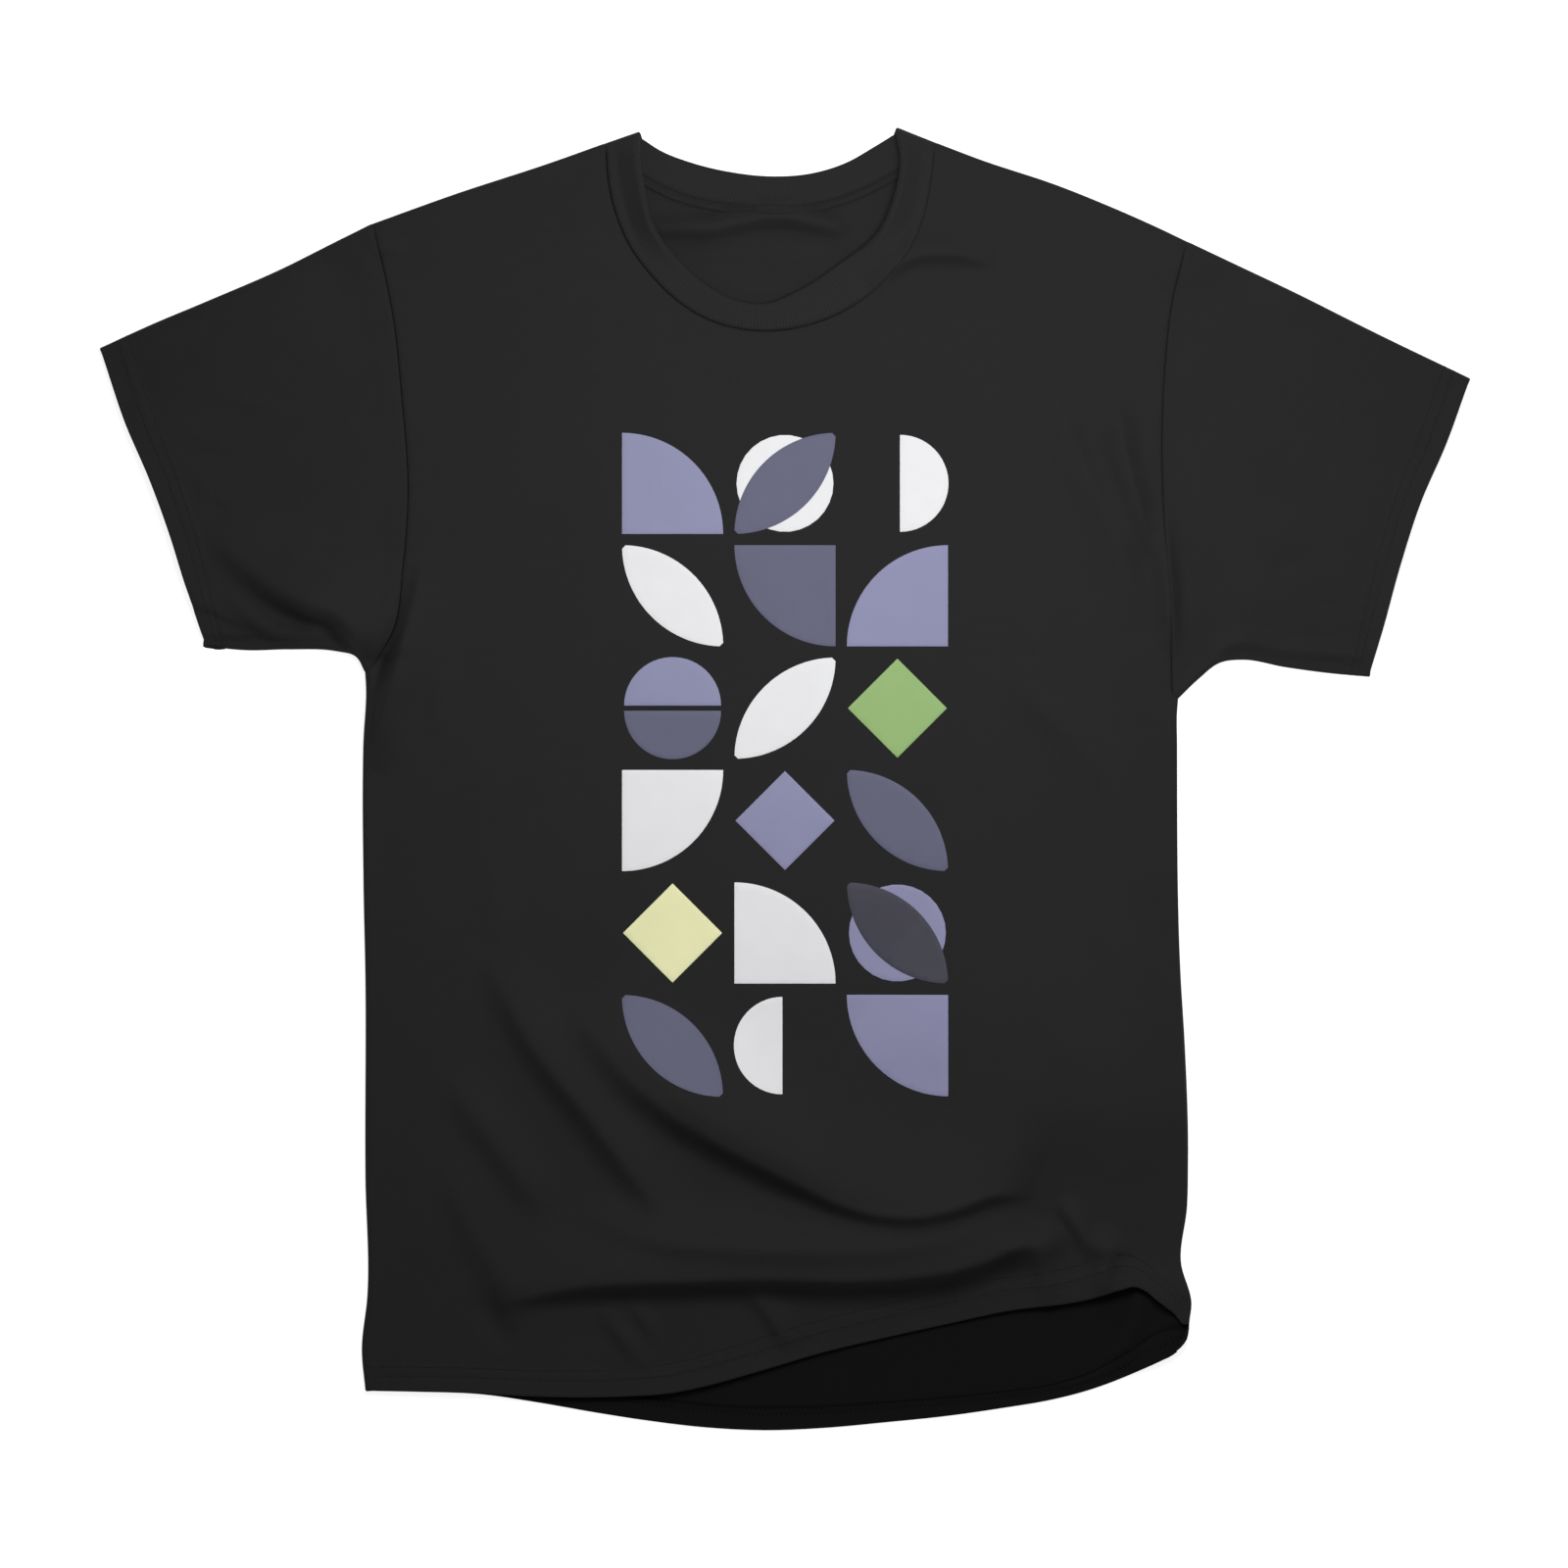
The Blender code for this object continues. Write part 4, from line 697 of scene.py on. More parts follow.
def placed(piece, node):
    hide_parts(node)
    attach(piece, "root")
    return piece


def inside(xy, ring):
    found = np.zeros(len(xy), bool)
    for a, b in zip(ring, np.roll(ring, -1, axis=0)):
        crosses = (a[1] > xy[:, 1]) != (b[1] > xy[:, 1])
        if crosses.any():
            x = a[0] + (xy[crosses, 1] - a[1]) * (b[0] - a[0]) / (b[1] - a[1])
            found[crosses] ^= xy[crosses, 0] < x
    return found


def honeycomb(low, high, cell):
    rows = np.arange(low[1], high[1], cell * 0.87)
    columns = np.arange(low[0], high[0], cell)
    return np.array([(x + (k % 2) * cell / 2, y) for k, y in enumerate(rows) for x in columns])


def filled(ring, cells, rows=()):
    # triangles inside a ring of plan points. rows are lines of points to keep, cells are grids for the rest
    ring = np.asarray(ring)
    closed = np.concatenate([ring, ring[:1]])
    kept = [row[inside(row, ring)] for row in rows]
    kept = [row[nearest(row, closed, 5)[0] > 0.45] for row in kept if len(row)]
    seeds = np.concatenate(kept) if kept else np.zeros((0, 2))
    tree = KDTree(len(seeds))
    for k, (x, y) in enumerate(seeds):
        tree.insert((x, y, 0), k)
    tree.balance()
    parts = [seeds]
    for grid, cell in cells:
        grid = grid[inside(grid, ring)]
        grid = grid[nearest(grid, closed, 6)[0] > 0.55 * cell]
        if len(seeds):
            grid = grid[[tree.find((x, y, 0))[2] > 0.6 * cell for x, y in grid]]
        parts.append(grid)
    flat = [Vector(p) for p in np.concatenate([ring] + parts)]
    made = delaunay_2d_cdt(flat, [], [list(range(len(ring)))], 1, 1e-4)
    points = np.array([v[:] for v in made[0]])
    triangles = np.array(made[2])
    if np.cross(*(points[triangles[:, k]] - points[triangles[:, 0]] for k in (1, 2))).sum() < 0:
        triangles = triangles[:, ::-1]
    where = {old: new for new, olds in enumerate(made[3]) for old in olds}
    return points, triangles, [where[k] for k in range(len(ring))]


# x, and the share of the back hem's depth that shows there
backHemDepth = [(-235, 1.0), (-120, 0.90), (0, 0.86), (90, 0.68), (150, 0.52), (172, 0.60), (190, 0.80),
                (204, 1.02), (226, 0.98)]


def hemScale(xy):
    # the back's hem tips over towards its left end, so that less of its depth shows from above
    return np.interp(xy[:, 0], *np.array(backHemDepth).T)[:, None]


def hemRows(hem, depths):
    scale = hemScale(hem) if hem is backHem else 1.0
    return [hem - d * scale * rightHand(hem) for d in depths]


def beside(line, distances, shift=0.0):
    return [line + (shift + d) * rightHand(line) for d in distances]


bodyShape = {
    "seamRows": (1.1, 2.3, 3.7), "foldRows": (-1.6, -3.4, -5.6),
    "hemRows": (0.9, 6.8, 8, 9.2, 11.8, 12.6, 13.2, 13.8, 14.6, 15.6),
    "turnUp": (12.5, 13.2),             # where the hem's two layers give way to one
    "groove": 0.6, "grooveAt": 13.6, "grooveWidth": 0.6,
    # painted shade along the hem's groove on the back's inner face: how much darker, and how wide
    "groovePaintedShade": 0.6, "groovePaintedShadeWidth": 0.9,
    "paintedHemShade": 0.27, "mouth": (-300, -215),      # painted shadow inside the lifted hem: the share of the inner face's colour left there, and the y span over which it fades out
}
# folds steep enough to need rows of points beside their crests
creased = {
    "front": (folds, ("chestToHem", "aboveTheHem", "besideThePrint", "leftChestOuter", "rightArmpit",
                      "leftOfTheNeck"), 2.2, (-1.6, 0, 1.6, 3.2, 4.8, 6.6, 8.6)),
    "back": (backFolds, ("insideTheNeck", "backHemCrease"), 2.6, (-4, -2, 0, 1.8, 3.6, 5.4, 7.4)),
}


def panelRing(hem, neck, leftSide):
    # plan outline of a panel with, for each point, the way its fold bulges, or nothing where it has no fold
    ring, ways = [], []
    inward = cloth["sewnGap"]
    stretches = [(leftSide, None), (armholeL, inward), (shoulderL, None), (neck, inward), (shoulderR, None),
                 (armholeR, inward), (sideR, None), (hem, 0.0)]
    for stretch, back in stretches:
        folded = isinstance(stretch, FoldLine)
        points = stretch.start if folded else stretch - back * rightHand(stretch)
        outs = stretch.out if folded else np.zeros_like(points)
        if not folded:
            points, outs = points[1:-1], outs[1:-1]
        ring.extend(points)
        ways.extend(outs)
    return np.array(ring), np.array(ways)


def carryRound(spots, ring, ways, folded):
    # rows of points round the folded edges: (x, y, out x, out y, angle), with their quads
    rows = cloth["foldRows"]
    extra, quads, number = [], [], {}
    for k in range(len(ring)):
        if folded[k]:
            number[k] = len(spots) + len(extra)
            for row in range(rows):
                turn = math.radians(cloth["foldTurn"]) * (row + 1) / rows
                extra.append((*spots[ring[k]][:2], *ways[k], turn))
    for k in range(len(ring)):
        n = (k + 1) % len(ring)
        if folded[k] and folded[n]:
            for row in range(rows):
                a0 = ring[k] if row == 0 else number[k] + row - 1
                b0 = ring[n] if row == 0 else number[n] + row - 1
                quads.append((b0, a0, number[k] + row, number[n] + row))
    return extra, quads


def foldPoints(spots, front, depth=0.0):
    # points of a layer, its folded edges carried round towards the other layer
    spots = np.asarray(spots)
    xy, out, angle = spots[:, :2], spots[:, 2:4], spots[:, 4]
    top, bottom = frontTop(xy), backUnder(xy)
    middle = (top + bottom) / 2
    reach = (cloth["foldReach"] - depth) * np.sin(angle)
    if front:
        z = middle + (top - depth - middle) * np.cos(angle)
    else:
        z = middle - (middle - bottom - depth) * np.cos(angle)
    return np.column_stack([xy + out * reach[:, None], z])


def unrolled(along, down):
    # places on the flat cloth of a grid of points
    return np.column_stack([np.tile(along, len(down)), np.repeat(down, len(along))])


def hemmedWall(share):
    return cloth["wall"] + (cloth["hemWall"] - cloth["wall"]) * share


def makePanel(name, node, front, hem, neck, leftSide):
    ring, ways = panelRing(hem, neck, leftSide)
    rows = []
    for line in (armholeL, armholeR, neck):
        rows += beside(line, [-d for d in bodyShape["seamRows"]], -cloth["sewnGap"])
    rows += hemRows(hem, bodyShape["hemRows"])
    for line in (sideL, sideR, shoulderL, shoulderR):
        rows += beside(line.start, bodyShape["foldRows"])
    known, names, step, distances = creased["front" if front else "back"]
    for key in names:
        rows += beside(throughPoints(known[key][0], step)[:, :2], distances)
    low, high = ring.min(0), ring.max(0)
    split = fineness["fineBelow"]
    if front:
        cells = [(honeycomb((low[0], split), high, fineness["coarse"]), fineness["coarse"]),
                 (honeycomb(low, (high[0], split), fineness["fine"]), fineness["fine"])]
    else:
        cells = [(honeycomb(low, high, fineness["back"]), fineness["back"])]
    flat, triangles, places = filled(ring, cells, rows)
    spots = [(x, y, 0, 0, 0) for x, y in flat]
    folded = (np.abs(ways).sum(1) > 0).tolist()
    extra, quads = carryRound(spots, places, ways, folded)
    spots = np.array(spots + extra)
    faces = [triangles, np.array(quads)]
    if not front:
        faces = [group[:, ::-1] for group in faces]
    points = foldPoints(spots, front)
    fromHem = nearest(spots[:, :2], hem, 22)[0]
    if not front:
        fromHem = fromHem / hemScale(spots[:, :2])[:, 0]
    at, beyond = bodyShape, fromHem - bodyShape["grooveAt"]
    groove = at["groove"] * np.exp(-(beyond / at["grooveWidth"]) ** 2)
    wall = hemmedWall(1 - easeIn(fromHem, *at["turnUp"])) - groove
    arc = spots[:, 4] * cloth["foldReach"]
    place = spots[:, :2] + spots[:, 2:4] * arc[:, None]
    # the back's inner face is painted darker inside the lifted hem's mouth, a painted shadow, and along the
    # hem's groove, a painted shade
    paintedInnerShade = None
    if not front:
        paintedInnerShade = 1 - (1 - at["paintedHemShade"]) * (1 - easeIn(spots[:, 1], *at["mouth"]))
        paintedInnerShade = paintedInnerShade * (1 - at["groovePaintedShade"] * np.exp(-(beyond / at["groovePaintedShadeWidth"]) ** 2))
    piece = addShell(name, points, faces, wall, jersey, place, paintedInnerShade)
    print(name, len(piece.data.polygons), "faces")
    return placed(piece, node)


frontBody = makePanel("frontBody", "front_panel", True, frontHem, frontNeck, sideFrontL)
backBody = makePanel("backBody", "back_panel", False, backHem, backNeck, sideL)


sleeveShape = {"rows": 3.0, "seamRows": (1.2, 2.4, 3.8), "hemRows": (13, 11.8, 9.2, 8, 6.8, 0.9, 0),
               "turnUp": (-0.4, 0.3), "clear": 1.2, "seamGroove": 0.8}


class SleeveLines:
    # lines round a sleeve, from its armhole at share 0 to its cuff at share 1, each from underarm to top
    def __init__(self, armhole, cuff, under, top, way):
        self.armhole = armhole
        size = lengths(cuff)[-1]
        self.cuff = atLengths(cuff, np.linspace(0, size, len(armhole)))
        self.under, self.top = under, top
        self.reach = (under.size() + top.size()) / 2
        self.sewn = np.array([way * cloth["sewnGap"], 0.0])

    def line(self, share):
        under = self.under.at([share * self.under.size()])
        top = self.top.at([share * self.top.size()])
        line = pinned(self.armhole * (1 - share) + self.cuff * share, under.start[0], top.start[0])
        return line + self.sewn * (1 - share), under.out[0], top.out[0]


def halfway(line, firstOut, lastOut):
    # spots across one layer, from halfway down one fold to halfway down the other
    turns = cloth["quarterRows"]
    quarter = [math.pi / 2 * k / turns for k in range(1, turns + 1)]
    first = [(*line[0], *firstOut, angle) for angle in quarter[::-1]]
    last = [(*line[-1], *lastOut, angle) for angle in quarter]
    return np.array(first + [(x, y, 0, 0, 0) for x, y in line] + last)


def waysOut(spots, front):
    bulge = spots[:, 2:4] * np.sin(spots[:, 4])[:, None]
    return np.column_stack([bulge, (1 if front else -1) * np.cos(spots[:, 4])])


def onceRound(frontLine, backLine, firstOut, lastOut, depth=0.0):
    # points once round the flattened tube, depth below its outer face, and the way out of the cloth at each
    front, back = (halfway(line, firstOut, lastOut) for line in (frontLine, backLine))
    back = back[1:-1][::-1]
    points = np.concatenate([foldPoints(front, True, depth), foldPoints(back, False, depth)])
    return points, np.concatenate([waysOut(front, True), waysOut(back, False)])


def sleeveRing(lines, share, depth=0.0):
    line, underOut, topOut = lines.line(share)
    return onceRound(line, line, underOut, topOut, depth)


def makeSleeve(name, node, lines):
    at, reach = sleeveShape, lines.reach
    turnUp = [cloth["cuffDepth"] + d for d in at["turnUp"]]      # where the cuff's two layers give way to one
    marks = [0.0, *at["seamRows"]]
    hemMarks = [reach - d for d in (cloth["cuffDepth"] + at["clear"], *turnUp[::-1], *at["hemRows"])]
    body = np.linspace(marks[-1] + 3, hemMarks[0] - 2, round((hemMarks[0] - marks[-1]) / at["rows"]))
    shares = np.array([*marks, *body, *hemMarks]) / reach
    points = np.array([sleeveRing(lines, share)[0] for share in shares])
    width = points.shape[1]
    seam = points[:, 0] - points[:, 1]                    # the underarm seam is a small groove
    points[:, 0] -= at["seamGroove"] * seam / np.maximum(np.linalg.norm(seam, axis=1), 0.1)[:, None]
    steps = np.linalg.norm(np.diff(points, axis=1, append=points[:, :1]), axis=2)
    across = np.concatenate([np.zeros((len(shares), 1)), np.cumsum(steps, axis=1)[:, :-1]], axis=1)
    place = np.stack([across, np.broadcast_to(-(shares * reach)[:, None], across.shape)], axis=2)
    wall = np.repeat(hemmedWall(1 - easeIn((1 - shares) * reach, *turnUp)), width)
    return placed(addStrip(name, points, place, wall, jersey, upside=slice(8, width // 3)), node)


linesL = SleeveLines(armholeL, cuffL, underL, topL.turned(), 1)
linesR = SleeveLines(armholeR[::-1], cuffR[::-1], underR.turned(), topR, -1)
leftSleeve = makeSleeve("leftSleeve", "left_sleeve", linesL)
rightSleeve = makeSleeve("rightSleeve", "right_sleeve", linesR)


bandShape = {
    "rows": (0, 0.05, 0.1, 0.15, 0.18, 0.2, 0.23, 0.27, 0.32, 0.38, 0.45, 0.53, 0.62, 0.72, 0.8, 0.86, 0.91,
             0.95, 0.98, 1.0),
    "columns": 150, "depth": 20, "edgeRound": 1.0,
    "wall": 2.0, "seamWall": 1.3, "backRidge": 0.9, "ridgeAt": 0.34, "ridgeWidth": 0.13,
    "lift": 1.5, "dome": 0.45, "seamDip": 0.5,
    "leftFrom": (20, 48), "standFrom": (280, 318), "rollFrom": (284, 308),
    "standRight": 10.5, "standLeft": 9.0, "standFades": (344, 362), "standFade": 0.7,
    "edgeRoll": 0.9, "edgeRollRight": 3.0, "edgeRollLeft": 3.6,
}
frontColumns = slice(0, bandShape["columns"] + 2 * cloth["quarterRows"])


def bandRing(share, depth=0.0):
    # once round the neck, share of the way from the seam to the free edge
    at = bandShape
    sewn, free = [], []
    for seam, edge in ((frontNeck, frontBand), (backNeck, backBand)):
        seam = seam + cloth["sewnGap"] * rightHand(seam)
        edge = edge - at["edgeRound"] * rightHand(edge)
        sewn.append(atLengths(seam, np.linspace(0, lengths(seam)[-1], at["columns"])))
        free.append(atLengths(edge, np.linspace(0, lengths(edge)[-1], at["columns"])))
    leftOut = collarL.out[0] * (1 - share) + collarL.out[-1] * share
    rightOut = collarR.out[-1] * (1 - share) + collarR.out[0] * share
    lines = [a * (1 - share) + b * share for a, b in zip(sewn, free)]
    points, ups = onceRound(*lines, leftOut, rightOut, depth)
    swell = at["dome"] * math.sin(math.pi * (0.06 + 0.9 * share)) - at["seamDip"] * max(0, 1 - share / 0.04)
    # beside the opening the front of the band stands up, and its free edge rolls in
    x, y, _ = points[frontColumns].T
    upward = ups[frontColumns, 2]
    rise = at["lift"] * share ** 2 * np.sin(np.linspace(0, math.pi, len(x)))
    left = easeIn(x, *at["leftFrom"])
    faded = at["standRight"] * (1 - at["standFade"] * easeIn(y, *at["standFades"]))
    stand = (faded * (1 - left) + at["standLeft"] * left) * easeIn(y, *at["standFrom"])
    rise = rise + stand * max(0.0, (share - 0.3) / 0.7) ** 1.2 * upward
    roll = at["edgeRollLeft"] * left + at["edgeRollRight"] * (1 - left)
    roll = at["edgeRoll"] + roll * easeIn(y, *at["rollFrom"])
    points[frontColumns, 2] += rise + (swell - roll * max(0.0, (share - 0.8) / 0.2) ** 2) * upward
    return points, ups


def bandWall(share, ups):
    # the inner face bulges beside the tape at the back of the neck
    at = bandShape
    thin = at["wall"] + (at["seamWall"] - at["wall"]) * (1 - easeIn(share, 0.18, 0.24))
    ridge = at["backRidge"] * math.exp(-((share - at["ridgeAt"]) / at["ridgeWidth"]) ** 2)
    return thin + ridge * easeIn(-ups[:, 2], 0.0, 1.0) * (share > 0.19)


def makeNeckband():
    shares = np.array(bandShape["rows"])
    rings = [bandRing(share) for share in shares]
    points = np.array([ring[0] for ring in rings])
    place = unrolled(lengths(points[len(shares) // 2]), shares * bandShape["depth"])
    wall = np.concatenate([bandWall(share, ring[1]) for share, ring in zip(shares, rings)])
    piece = addStrip("neckbandRib", points, place, wall, rib, upside=slice(20, 140))
    return placed(piece, "neckband")


neckbandRib = makeNeckband()


threadShape = {"stitch": 3.0, "gap": 0.5, "wide": 0.40, "high": 0.28, "sunk": 0.16, "arch": 0.14,
               "clear": 0.05, "sides": 6, "stations": 6, "loop": 2.6, "loopWide": 0.26, "loopHigh": 0.14,
               "loopLift": -0.02}


def unit(vectors):
    return vectors / np.maximum(np.linalg.norm(vectors, axis=-1, keepdims=True), 1e-9)


def addThreads(name, node, paths, ups, wide, high, look=thread):
    # short threads as one piece. paths and ups hold, for each thread, its stations
    across = unit(np.cross(np.gradient(paths, axis=1), ups))
    up = unit(np.cross(across, np.gradient(paths, axis=1)))
    threads, stations = paths.shape[:2]
    sides = threadShape["sides"]
    turn = np.linspace(0, 2 * math.pi, sides, endpoint=False)
    taper = np.ones(stations)
    taper[0] = taper[-1] = 0.45
    section = (across[:, :, None] * (np.cos(turn) * wide / 2)[:, None]
               + up[:, :, None] * (np.sin(turn) * high / 2)[:, None])
    points = (paths[:, :, None] + section * taper[None, :, None, None]).reshape(-1, 3)
    grid = np.arange(len(points)).reshape(threads, stations, sides)
    ahead = np.roll(grid, -1, axis=2)
    quads = np.stack([grid[:, :-1], ahead[:, :-1], ahead[:, 1:], grid[:, 1:]], axis=-1).reshape(-1, 4)
    ends = [grid[:, 0, ::-1], grid[:, -1]]
    along = np.broadcast_to(np.linspace(0, 3, stations)[None, :, None], grid.shape)
    place = np.column_stack([along.ravel(), np.broadcast_to(turn, grid.shape).ravel()])
    return placed(addMesh(name, points, [quads, *ends], look, place), node)


def cutEvenly(points, ups, pitch, gap, stations):
    # stations of equal stretches along a line, with the gaps between them left out
    along = lengths(points)
    count = int(round(along[-1] / pitch))
    pitch = along[-1] / count
    where = (np.arange(count)[:, None] * pitch + np.linspace(gap / 2, pitch - gap / 2, stations)).ravel()
    return [sampled(v, along, where).reshape(count, stations, 3) for v in (points, ups)]


def closedUp(ring):
    return np.concatenate([ring, ring[:1]])


def stitchPaths(points, ups):
    # each stitch rises out of the cloth, lies on it and goes down again
    at = threadShape
    paths, ups = cutEvenly(points, ups, at["stitch"], at["gap"], at["stations"])
    arch = np.sin(np.linspace(0, math.pi, at["stations"])) ** 0.6 * (at["arch"] + at["sunk"]) - at["sunk"]
    return paths + unit(ups) * (arch[None, :, None] + at["clear"]), unit(ups)


def atShares(row, shares):
    # a row's points and ways out at shares of its length
    points, ups = row
    known = np.linspace(0, 1, len(ups))
    return atLengths(points, shares * lengths(points)[-1]), sampled(ups, known, shares)


def zigzagPaths(rowA, rowB, pitch, lift):
    # threads that go to and fro between two rows, lifted off the side that the rows' ways out show
    count = 2 * int((lengths(rowA[0])[-1] + lengths(rowB[0])[-1]) / 2 / pitch)
    (a, upA), (b, upB) = (atShares(row, np.linspace(0, 1, count + 1)) for row in (rowA, rowB))
    there = (np.arange(count) % 2 == 0)[:, None]
    first, last = np.where(there, a[:-1], b[:-1])[:, None], np.where(there, b[1:], a[1:])[:, None]
    up = unit(upA + upB)[:-1, None]
    t = np.linspace(0, 1, 4)[:, None]
    return first * (1 - t) + last * t + up * lift, np.repeat(up, 4, axis=1)


def hemRow(hem, depth):
    # a plan line at one depth from a hem, and the ways out of the folds at its two ends
    side, share = (sideL, hemShape["backAtLeft"]) if hem is backHem else (sideFrontL, 1.0)
    right, left = sideR.at([sideR.size() - depth]), side.at([depth * share])
    return pinned(hemRows(hem, [depth])[0], right.start[0], left.start[0]), right.out[0], left.out[0]


def hemHalf(hem, front, depth, below=0.0):
    spots = halfway(*hemRow(hem, depth))
    return foldPoints(spots, front, below), waysOut(spots, front)


def stitchRow(name, node, points, ups):
    return addThreads(name, node, *stitchPaths(points, ups), threadShape["wide"], threadShape["high"])


def makeHemStitches():
    at, made = threadShape, {}
    for row, depth in enumerate(cloth["hemRows"], 1):
        made["front", row] = stitchRow(f"frontHemStitchRow{row}", f"front_hem_stitch_row_{row}",
                                       *hemHalf(frontHem, True, depth))
        made["back", row] = stitchRow(f"backHemStitchRow{row}", "back_hem_cover_stitch",
                                      *hemHalf(backHem, False, depth))
    for name, node, hem, front in (("frontHemLooper", "front_hem_stitch_row_1", frontHem, True),
                                   ("backHemLooper", "back_hem_cover_stitch", backHem, False)):
        near, far = (hemHalf(hem, front, depth, cloth["hemWall"]) for depth in cloth["hemRows"])
        paths, ups = zigzagPaths(near, far, at["loop"], at["loopLift"])
        made[name] = addThreads(name, node, paths, ups, at["loopWide"], at["loopHigh"], shadedThread)
    print("hem stitches")
    return made


def makeCuffStitches():
    made = {}
    for side, lines in (("left", linesL), ("right", linesR)):
        for row, depth in enumerate(cloth["hemRows"], 1):
            ring = [closedUp(v) for v in sleeveRing(lines, 1 - depth / lines.reach)]
            made[side, row] = stitchRow(f"{side}CuffStitchRow{row}", f"{side}_cuff_stitch_row_{row}", *ring)
    print("cuff stitches")
    return made


hemStitches = makeHemStitches()
cuffStitches = makeCuffStitches()

# the sewn allowances inside, overlocked
allowance = {
    "width": 5.8, "thick": 0.8, "below": 1.15, "rows": 5, "outer": 2.2,
    "pitch": 2.5, "threadWide": 0.3, "threadHigh": 0.2, "threadLift": 0.1,
    "armhole": 0.3, "neck": (0.02, 0.17), "neckBelow": 0.15,
    # how far each strip keeps from the two ends of its folded edge, and its number of points
    "underarm": (12, 17, 40), "leftSide": (34, 2, 120), "rightSide": (2, 20, 120), "shoulder": (2, 2, 60),
}


def addAllowance(side, seam, rowA, rowB, closed):
    # a strip of cloth between two rows of (points, ways out), and the threads over its inner face
    at = allowance
    shares = np.linspace(0, 1, at["rows"])
    points = np.array([rowA[0] * (1 - t) + rowB[0] * t for t in shares])
    place = unrolled(lengths(points[0]), shares * at["width"])
    node = f"{side}_{seam}_seam" if side else f"{seam}_seam"
    name = side + seam.capitalize() if side else seam
    strip = addStrip(name + "Allowance", points, place, at["thick"], jersey, closed, up=rowA[1])
    ends = [tuple(closedUp(v) if closed else v for v in row) for row in (rowA, rowB)]
    paths, ups = zigzagPaths(*ends, at["pitch"], -at["thick"] - at["threadLift"])
    threads = addThreads(name + "Overlock", node, paths, ups, at["threadWide"], at["threadHigh"])
    return placed(strip, node), threads


def edgeAllowance(side, seam, edge, ends):
    # the strip lies at half height inside a folded edge
    at = allowance
    begin, end, count = at[ends]
    part = edge.at(np.linspace(begin, edge.size() - end, count))
    part = part.at(np.linspace(0, part.size(), max(3, round(part.size() / 4))))
    height = (frontTop(part.start) + backUnder(part.start)) / 2 + at["thick"] / 2
    flatUp = np.tile((0.0, 0.0, 1.0), (len(height), 1))
    rows = [(np.column_stack([part.start + across * part.out, height]), flatUp)
            for across in (at["outer"], at["outer"] - at["width"])]
    return addAllowance(side, seam, *rows, False)


def makeAllowances():
    at, made = allowance, {}
    for side, lines in (("left", linesL), ("right", linesR)):
        rows = [sleeveRing(lines, reach / lines.reach, at["below"]) for reach in (at["armhole"], at["width"])]
        made[side, "armhole"] = addAllowance(side, "armhole", *rows, True)
        made[side, "underarm"] = edgeAllowance(side, "underarm", lines.under, "underarm")
    for side, edge in (("left", sideL), ("right", sideR)):
        made[side, "side"] = edgeAllowance(side, "side", edge, side + "Side")
    for side, edge in (("left", shoulderL), ("right", shoulderR)):
        made[side, "shoulder"] = edgeAllowance(side, "shoulder", edge, "shoulder")
    rows = [bandRing(share, bandShape["seamWall"] + at["neckBelow"]) for share in at["neck"]]
    made["", "neck"] = addAllowance("", "neck", *rows, True)
    print("allowances")
    return made


allowances = makeAllowances()

# the tape over the seam at the back of the neck
tapeShape = {"width": 3.2, "thick": 0.5, "height": 2.75, "dome": 0.35, "stitchFrom": 0.7, "begin": 0.1,
             "rows": 9,
             "uneven": 0.05}


def tapeRow(share):
    at = tapeShape
    line = backNeck[1:-1]
    plan = line + (at["begin"] + share * at["width"]) * rightHand(line)
    height = at["height"] + backUnder(plan)
    rise = height - at["dome"] * (2 * share - 1) ** 4 + at["uneven"] * waves(plan, 18, 4)
    return np.column_stack([plan, rise])


def makeTape():
    at = tapeShape
    across = np.linspace(0, 1, at["rows"])
    points = np.array([tapeRow(share) for share in across])
    place = unrolled(lengths(points[0]), across * at["width"])
    tape = placed(addStrip("neckTape", points, place, at["thick"], jersey, False), "neck_tape")
    made, inset = [], at["stitchFrom"] / at["width"]
    for k, share in enumerate((inset, 1 - inset), 1):
        row = tapeRow(share)
        ups = np.tile((0.0, 0.0, 1.0), (len(row), 1))
        made.append(stitchRow(f"neckTapeStitchRow{k}", "neck_tape", row, ups))
    print("neck tape")
    return tape, made


neckTape, tapeStitches = makeTape()

# the print: plain shapes in a grid of squares
printShape = {"middle": (0.0, 8.0), "square": 63.0, "inner": 59.0, "film": 0.07, "lift": 0.19, "step": 0.10,
              "cell": 3.0}
# motif, quarter turns, ink and layer for each square, from the top row down
motifs = [
    [[("quarter", 0, "lavender", 0)], [("disc", 0, "white", 0), ("leaf", 0, "slate", 1)],
     [("half", 3, "white", 0)]],
    [[("leaf", 1, "white", 0)], [("quarter", 2, "slate", 0)], [("quarter", 1, "lavender", 0)]],
    [[("half", 0, "lavender", 0), ("half", 2, "slate", 0)], [("leaf", 0, "white", 0)],
     [("diamond", 0, "green", 0)]],
    [[("quarter", 3, "white", 0)], [("diamond", 0, "lavender", 0)], [("leaf", 1, "slate", 0)]],
    [[("diamond", 0, "cream", 0)], [("quarter", 0, "white", 0)],
     [("disc", 0, "lavender", 0), ("leaf", 1, "navy", 1)]],
    [[("leaf", 1, "slate", 0)], [("half", 1, "white", 0)], [("quarter", 2, "lavender", 0)]],
]


def arcPoints(centre, radius, begin, end, count=28):
    turn = np.radians(np.linspace(begin, end, count))
    return np.column_stack([centre[0] + radius * np.cos(turn), centre[1] + radius * np.sin(turn)])


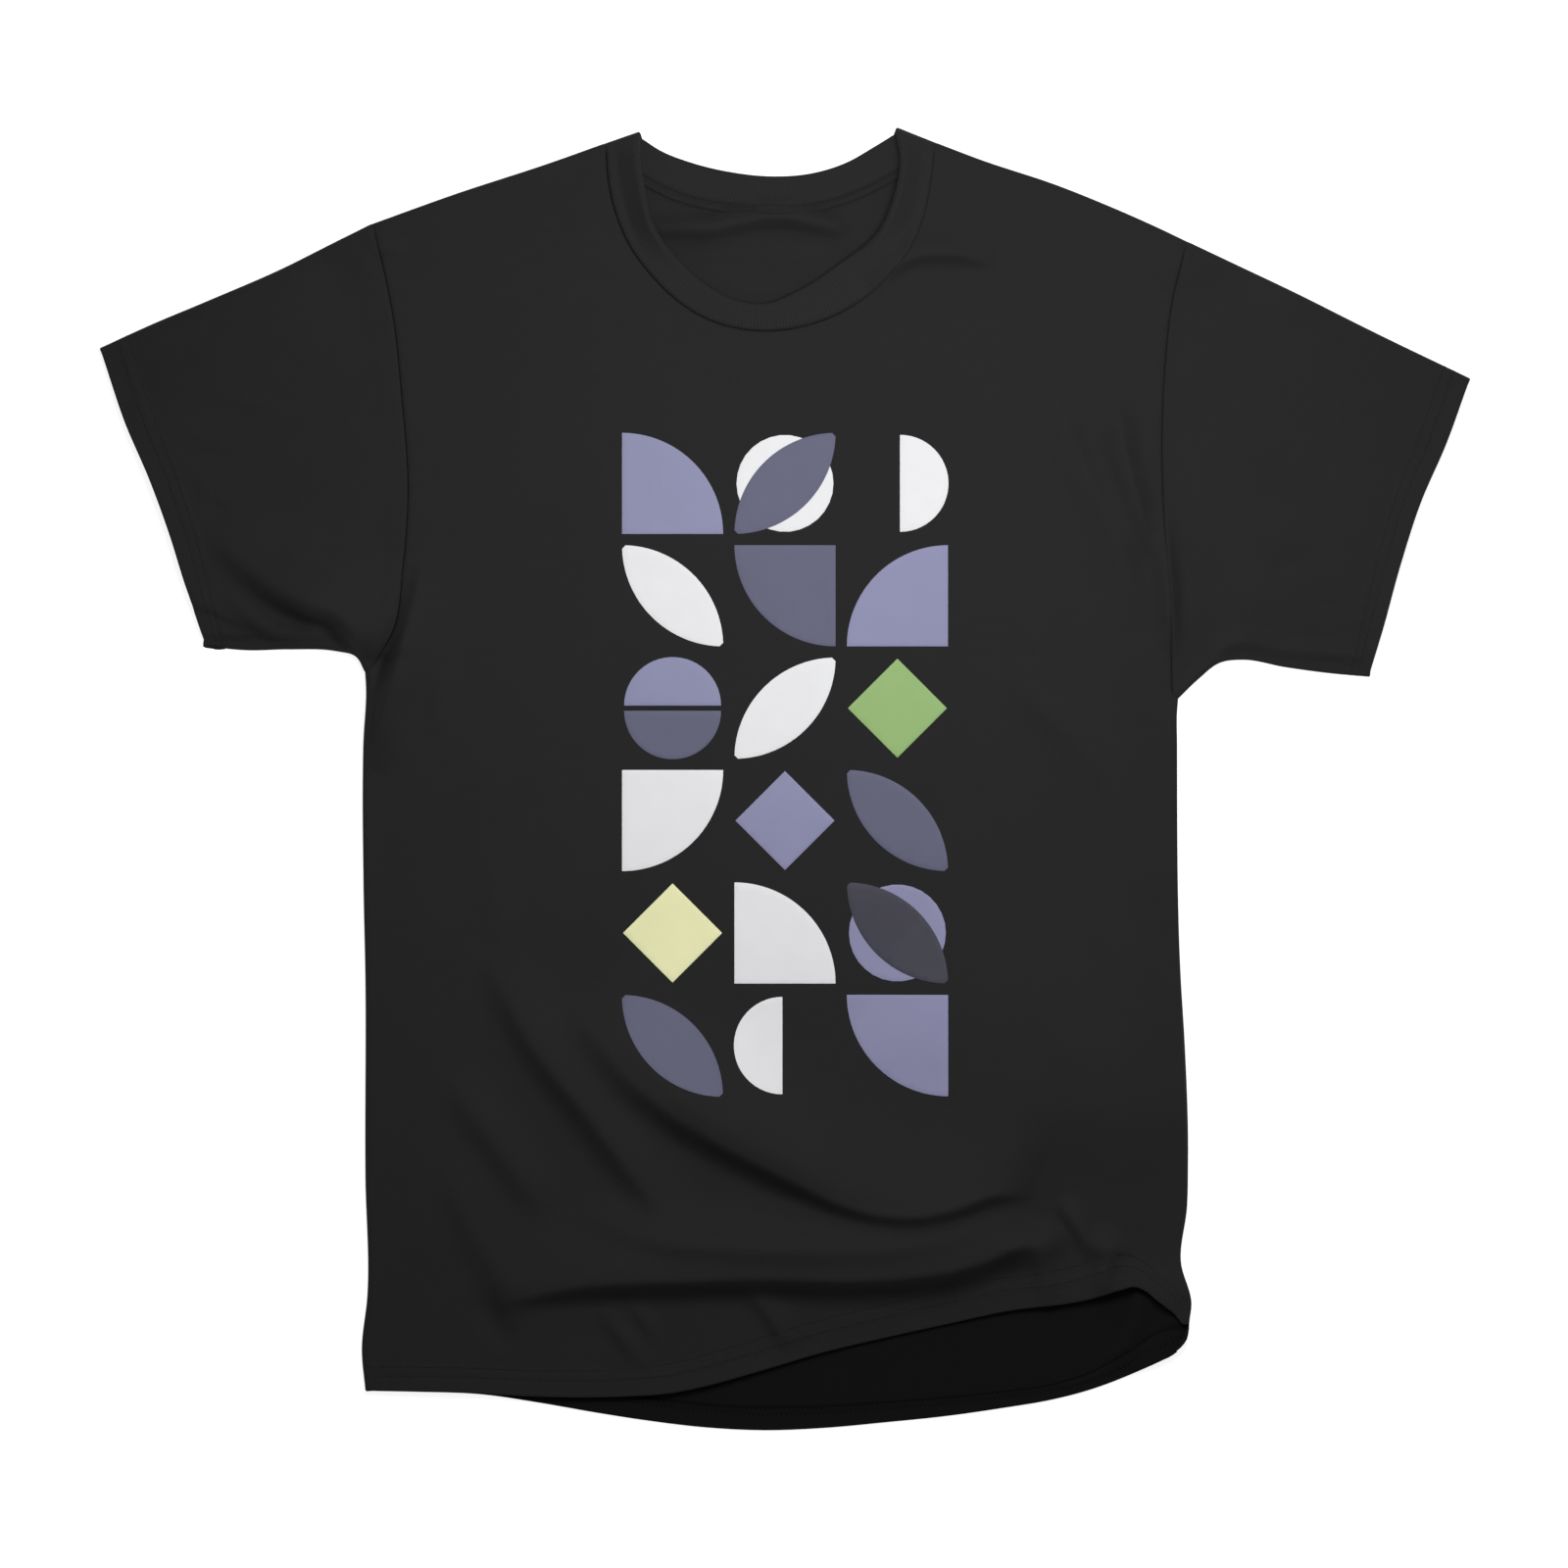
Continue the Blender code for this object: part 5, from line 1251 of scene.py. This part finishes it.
# outlines in a square from -1 to 1
motifShapes = {
    "disc": arcPoints((0, 0), 0.92, 0, 348, 30),
    "quarter": np.concatenate([arcPoints((-0.96, -0.96), 1.92, 0, 90), [(-0.96, -0.96)]]),
    "half": arcPoints((0, 0.05), 0.92, 0, 180),
    "leaf": np.concatenate([arcPoints((-0.96, 0.96), 1.92, -88, -2),
                            arcPoints((0.96, -0.96), 1.92, 92, 178)]),
    "diamond": np.array([(0.94, 0), (0, 0.94), (-0.94, 0), (0, -0.94)]),
}


def dividedEdges(closed, step):
    # keeps the corners of a closed outline and adds points between them
    found = []
    for a, b in zip(closed[:-1], closed[1:]):
        parts = max(1, round(np.linalg.norm(b - a) / step))
        found += [a + (b - a) * k / parts for k in range(parts)]
    return np.array(found)


def motifFlats():
    # the outlines of all motifs, by ink and layer
    at, flats = printShape, {}
    for down, row in enumerate(motifs):
        for across, square in enumerate(row):
            centre = np.array(at["middle"]) + at["square"] * np.array([across - 1, 2.5 - down])
            for kind, turns, ink, layer in square:
                turn = math.pi / 2 * turns
                turned = np.array([[math.cos(turn), math.sin(turn)], [-math.sin(turn), math.cos(turn)]])
                ring = closedUp(motifShapes[kind] @ turned) * at["inner"] / 2 + centre
                flats.setdefault((ink, layer), []).append(dividedEdges(ring, at["cell"]))
    return flats


def makePrint():
    at, made = printShape, []
    for (ink, layer), rings in motifFlats().items():
        points, faces, count = [], [], 0
        for ring in rings:
            grid = honeycomb(ring.min(0), ring.max(0), at["cell"])
            xy, triangles, _ = filled(ring, [(grid, at["cell"])])
            points.append(xy)
            faces.append(triangles + count)
            count += len(xy)
        xy = np.concatenate(points)
        outer = np.column_stack([xy, frontTop(xy) + at["lift"] + layer * at["step"]])
        name = f"{ink}Print{layer + 1}"
        film = addShell(name, outer, [np.concatenate(faces)], at["film"], makeInk(ink), xy)
        made.append(placed(film, "chest_print"))
    print("print", len(made), "films")
    return made


prints = makePrint()

# camera, light and table
view = {"centre": (-0.00055, -0.0030), "height": 5.0, "width": 0.880, "sensor": 36.0}
camera = bpy.data.cameras.new("camera")
camera.sensor_width = view["sensor"]
camera.lens = view["sensor"] * view["height"] / view["width"]
camera.clip_end = 10 * view["height"]
cameraHolder = bpy.data.objects.new("camera", camera)
cameraHolder.location = (*view["centre"], view["height"])
bpy.context.scene.collection.objects.link(cameraHolder)
bpy.context.scene.camera = cameraHolder

lights = [
    # name, place, size, power, aimed at
    ("softbox", (0.10, 0.24, 0.78), 0.48, 10.8, (0.04, 0.08, 0.0)),
    ("rake", (0.15, 0.95, 0.60), 0.45, 1.6, (0.0, 0.0, 0.0)),
]
for name, place, size, power, target in lights:
    lamp = bpy.data.lights.new(name, "AREA")
    lamp.shape, lamp.size, lamp.energy = "DISK", size, power
    holder = bpy.data.objects.new(name, lamp)
    holder.location = place
    holder.rotation_euler = (Vector(target) - Vector(place)).to_track_quat("-Z", "Y").to_euler()
    bpy.context.scene.collection.objects.link(holder)

studio = {"sky": 0.42, "half": 4, "below": 0.0005, "grey": 0.28, "glow": 0.84, "roughness": 0.85}
world = bpy.data.worlds.new("studio")
world.use_nodes = True
sky = world.node_tree.nodes["Background"].inputs
sky["Color"].default_value = plain((1, 1, 1))
sky["Strength"].default_value = studio["sky"]
bpy.context.scene.world = world
bpy.context.scene.view_settings.view_transform = "Standard"

table = bpy.data.meshes.new("table")
corners = [(x * studio["half"], y * studio["half"], -studio["below"])
           for x, y in ((-1, -1), (1, -1), (1, 1), (-1, 1))]
table.from_pydata(corners, [], [(0, 1, 2, 3)])
tableLook = Look("paleTable", studio["roughness"], Base_Color=plain((1, 1, 1), studio["grey"]),
                 Emission_Color=plain((1, 1, 1)), Emission_Strength=studio["glow"])
table.materials.append(tableLook.material)
tableTop = bpy.data.objects.new("table", table)
bpy.context.scene.collection.objects.link(tableTop)
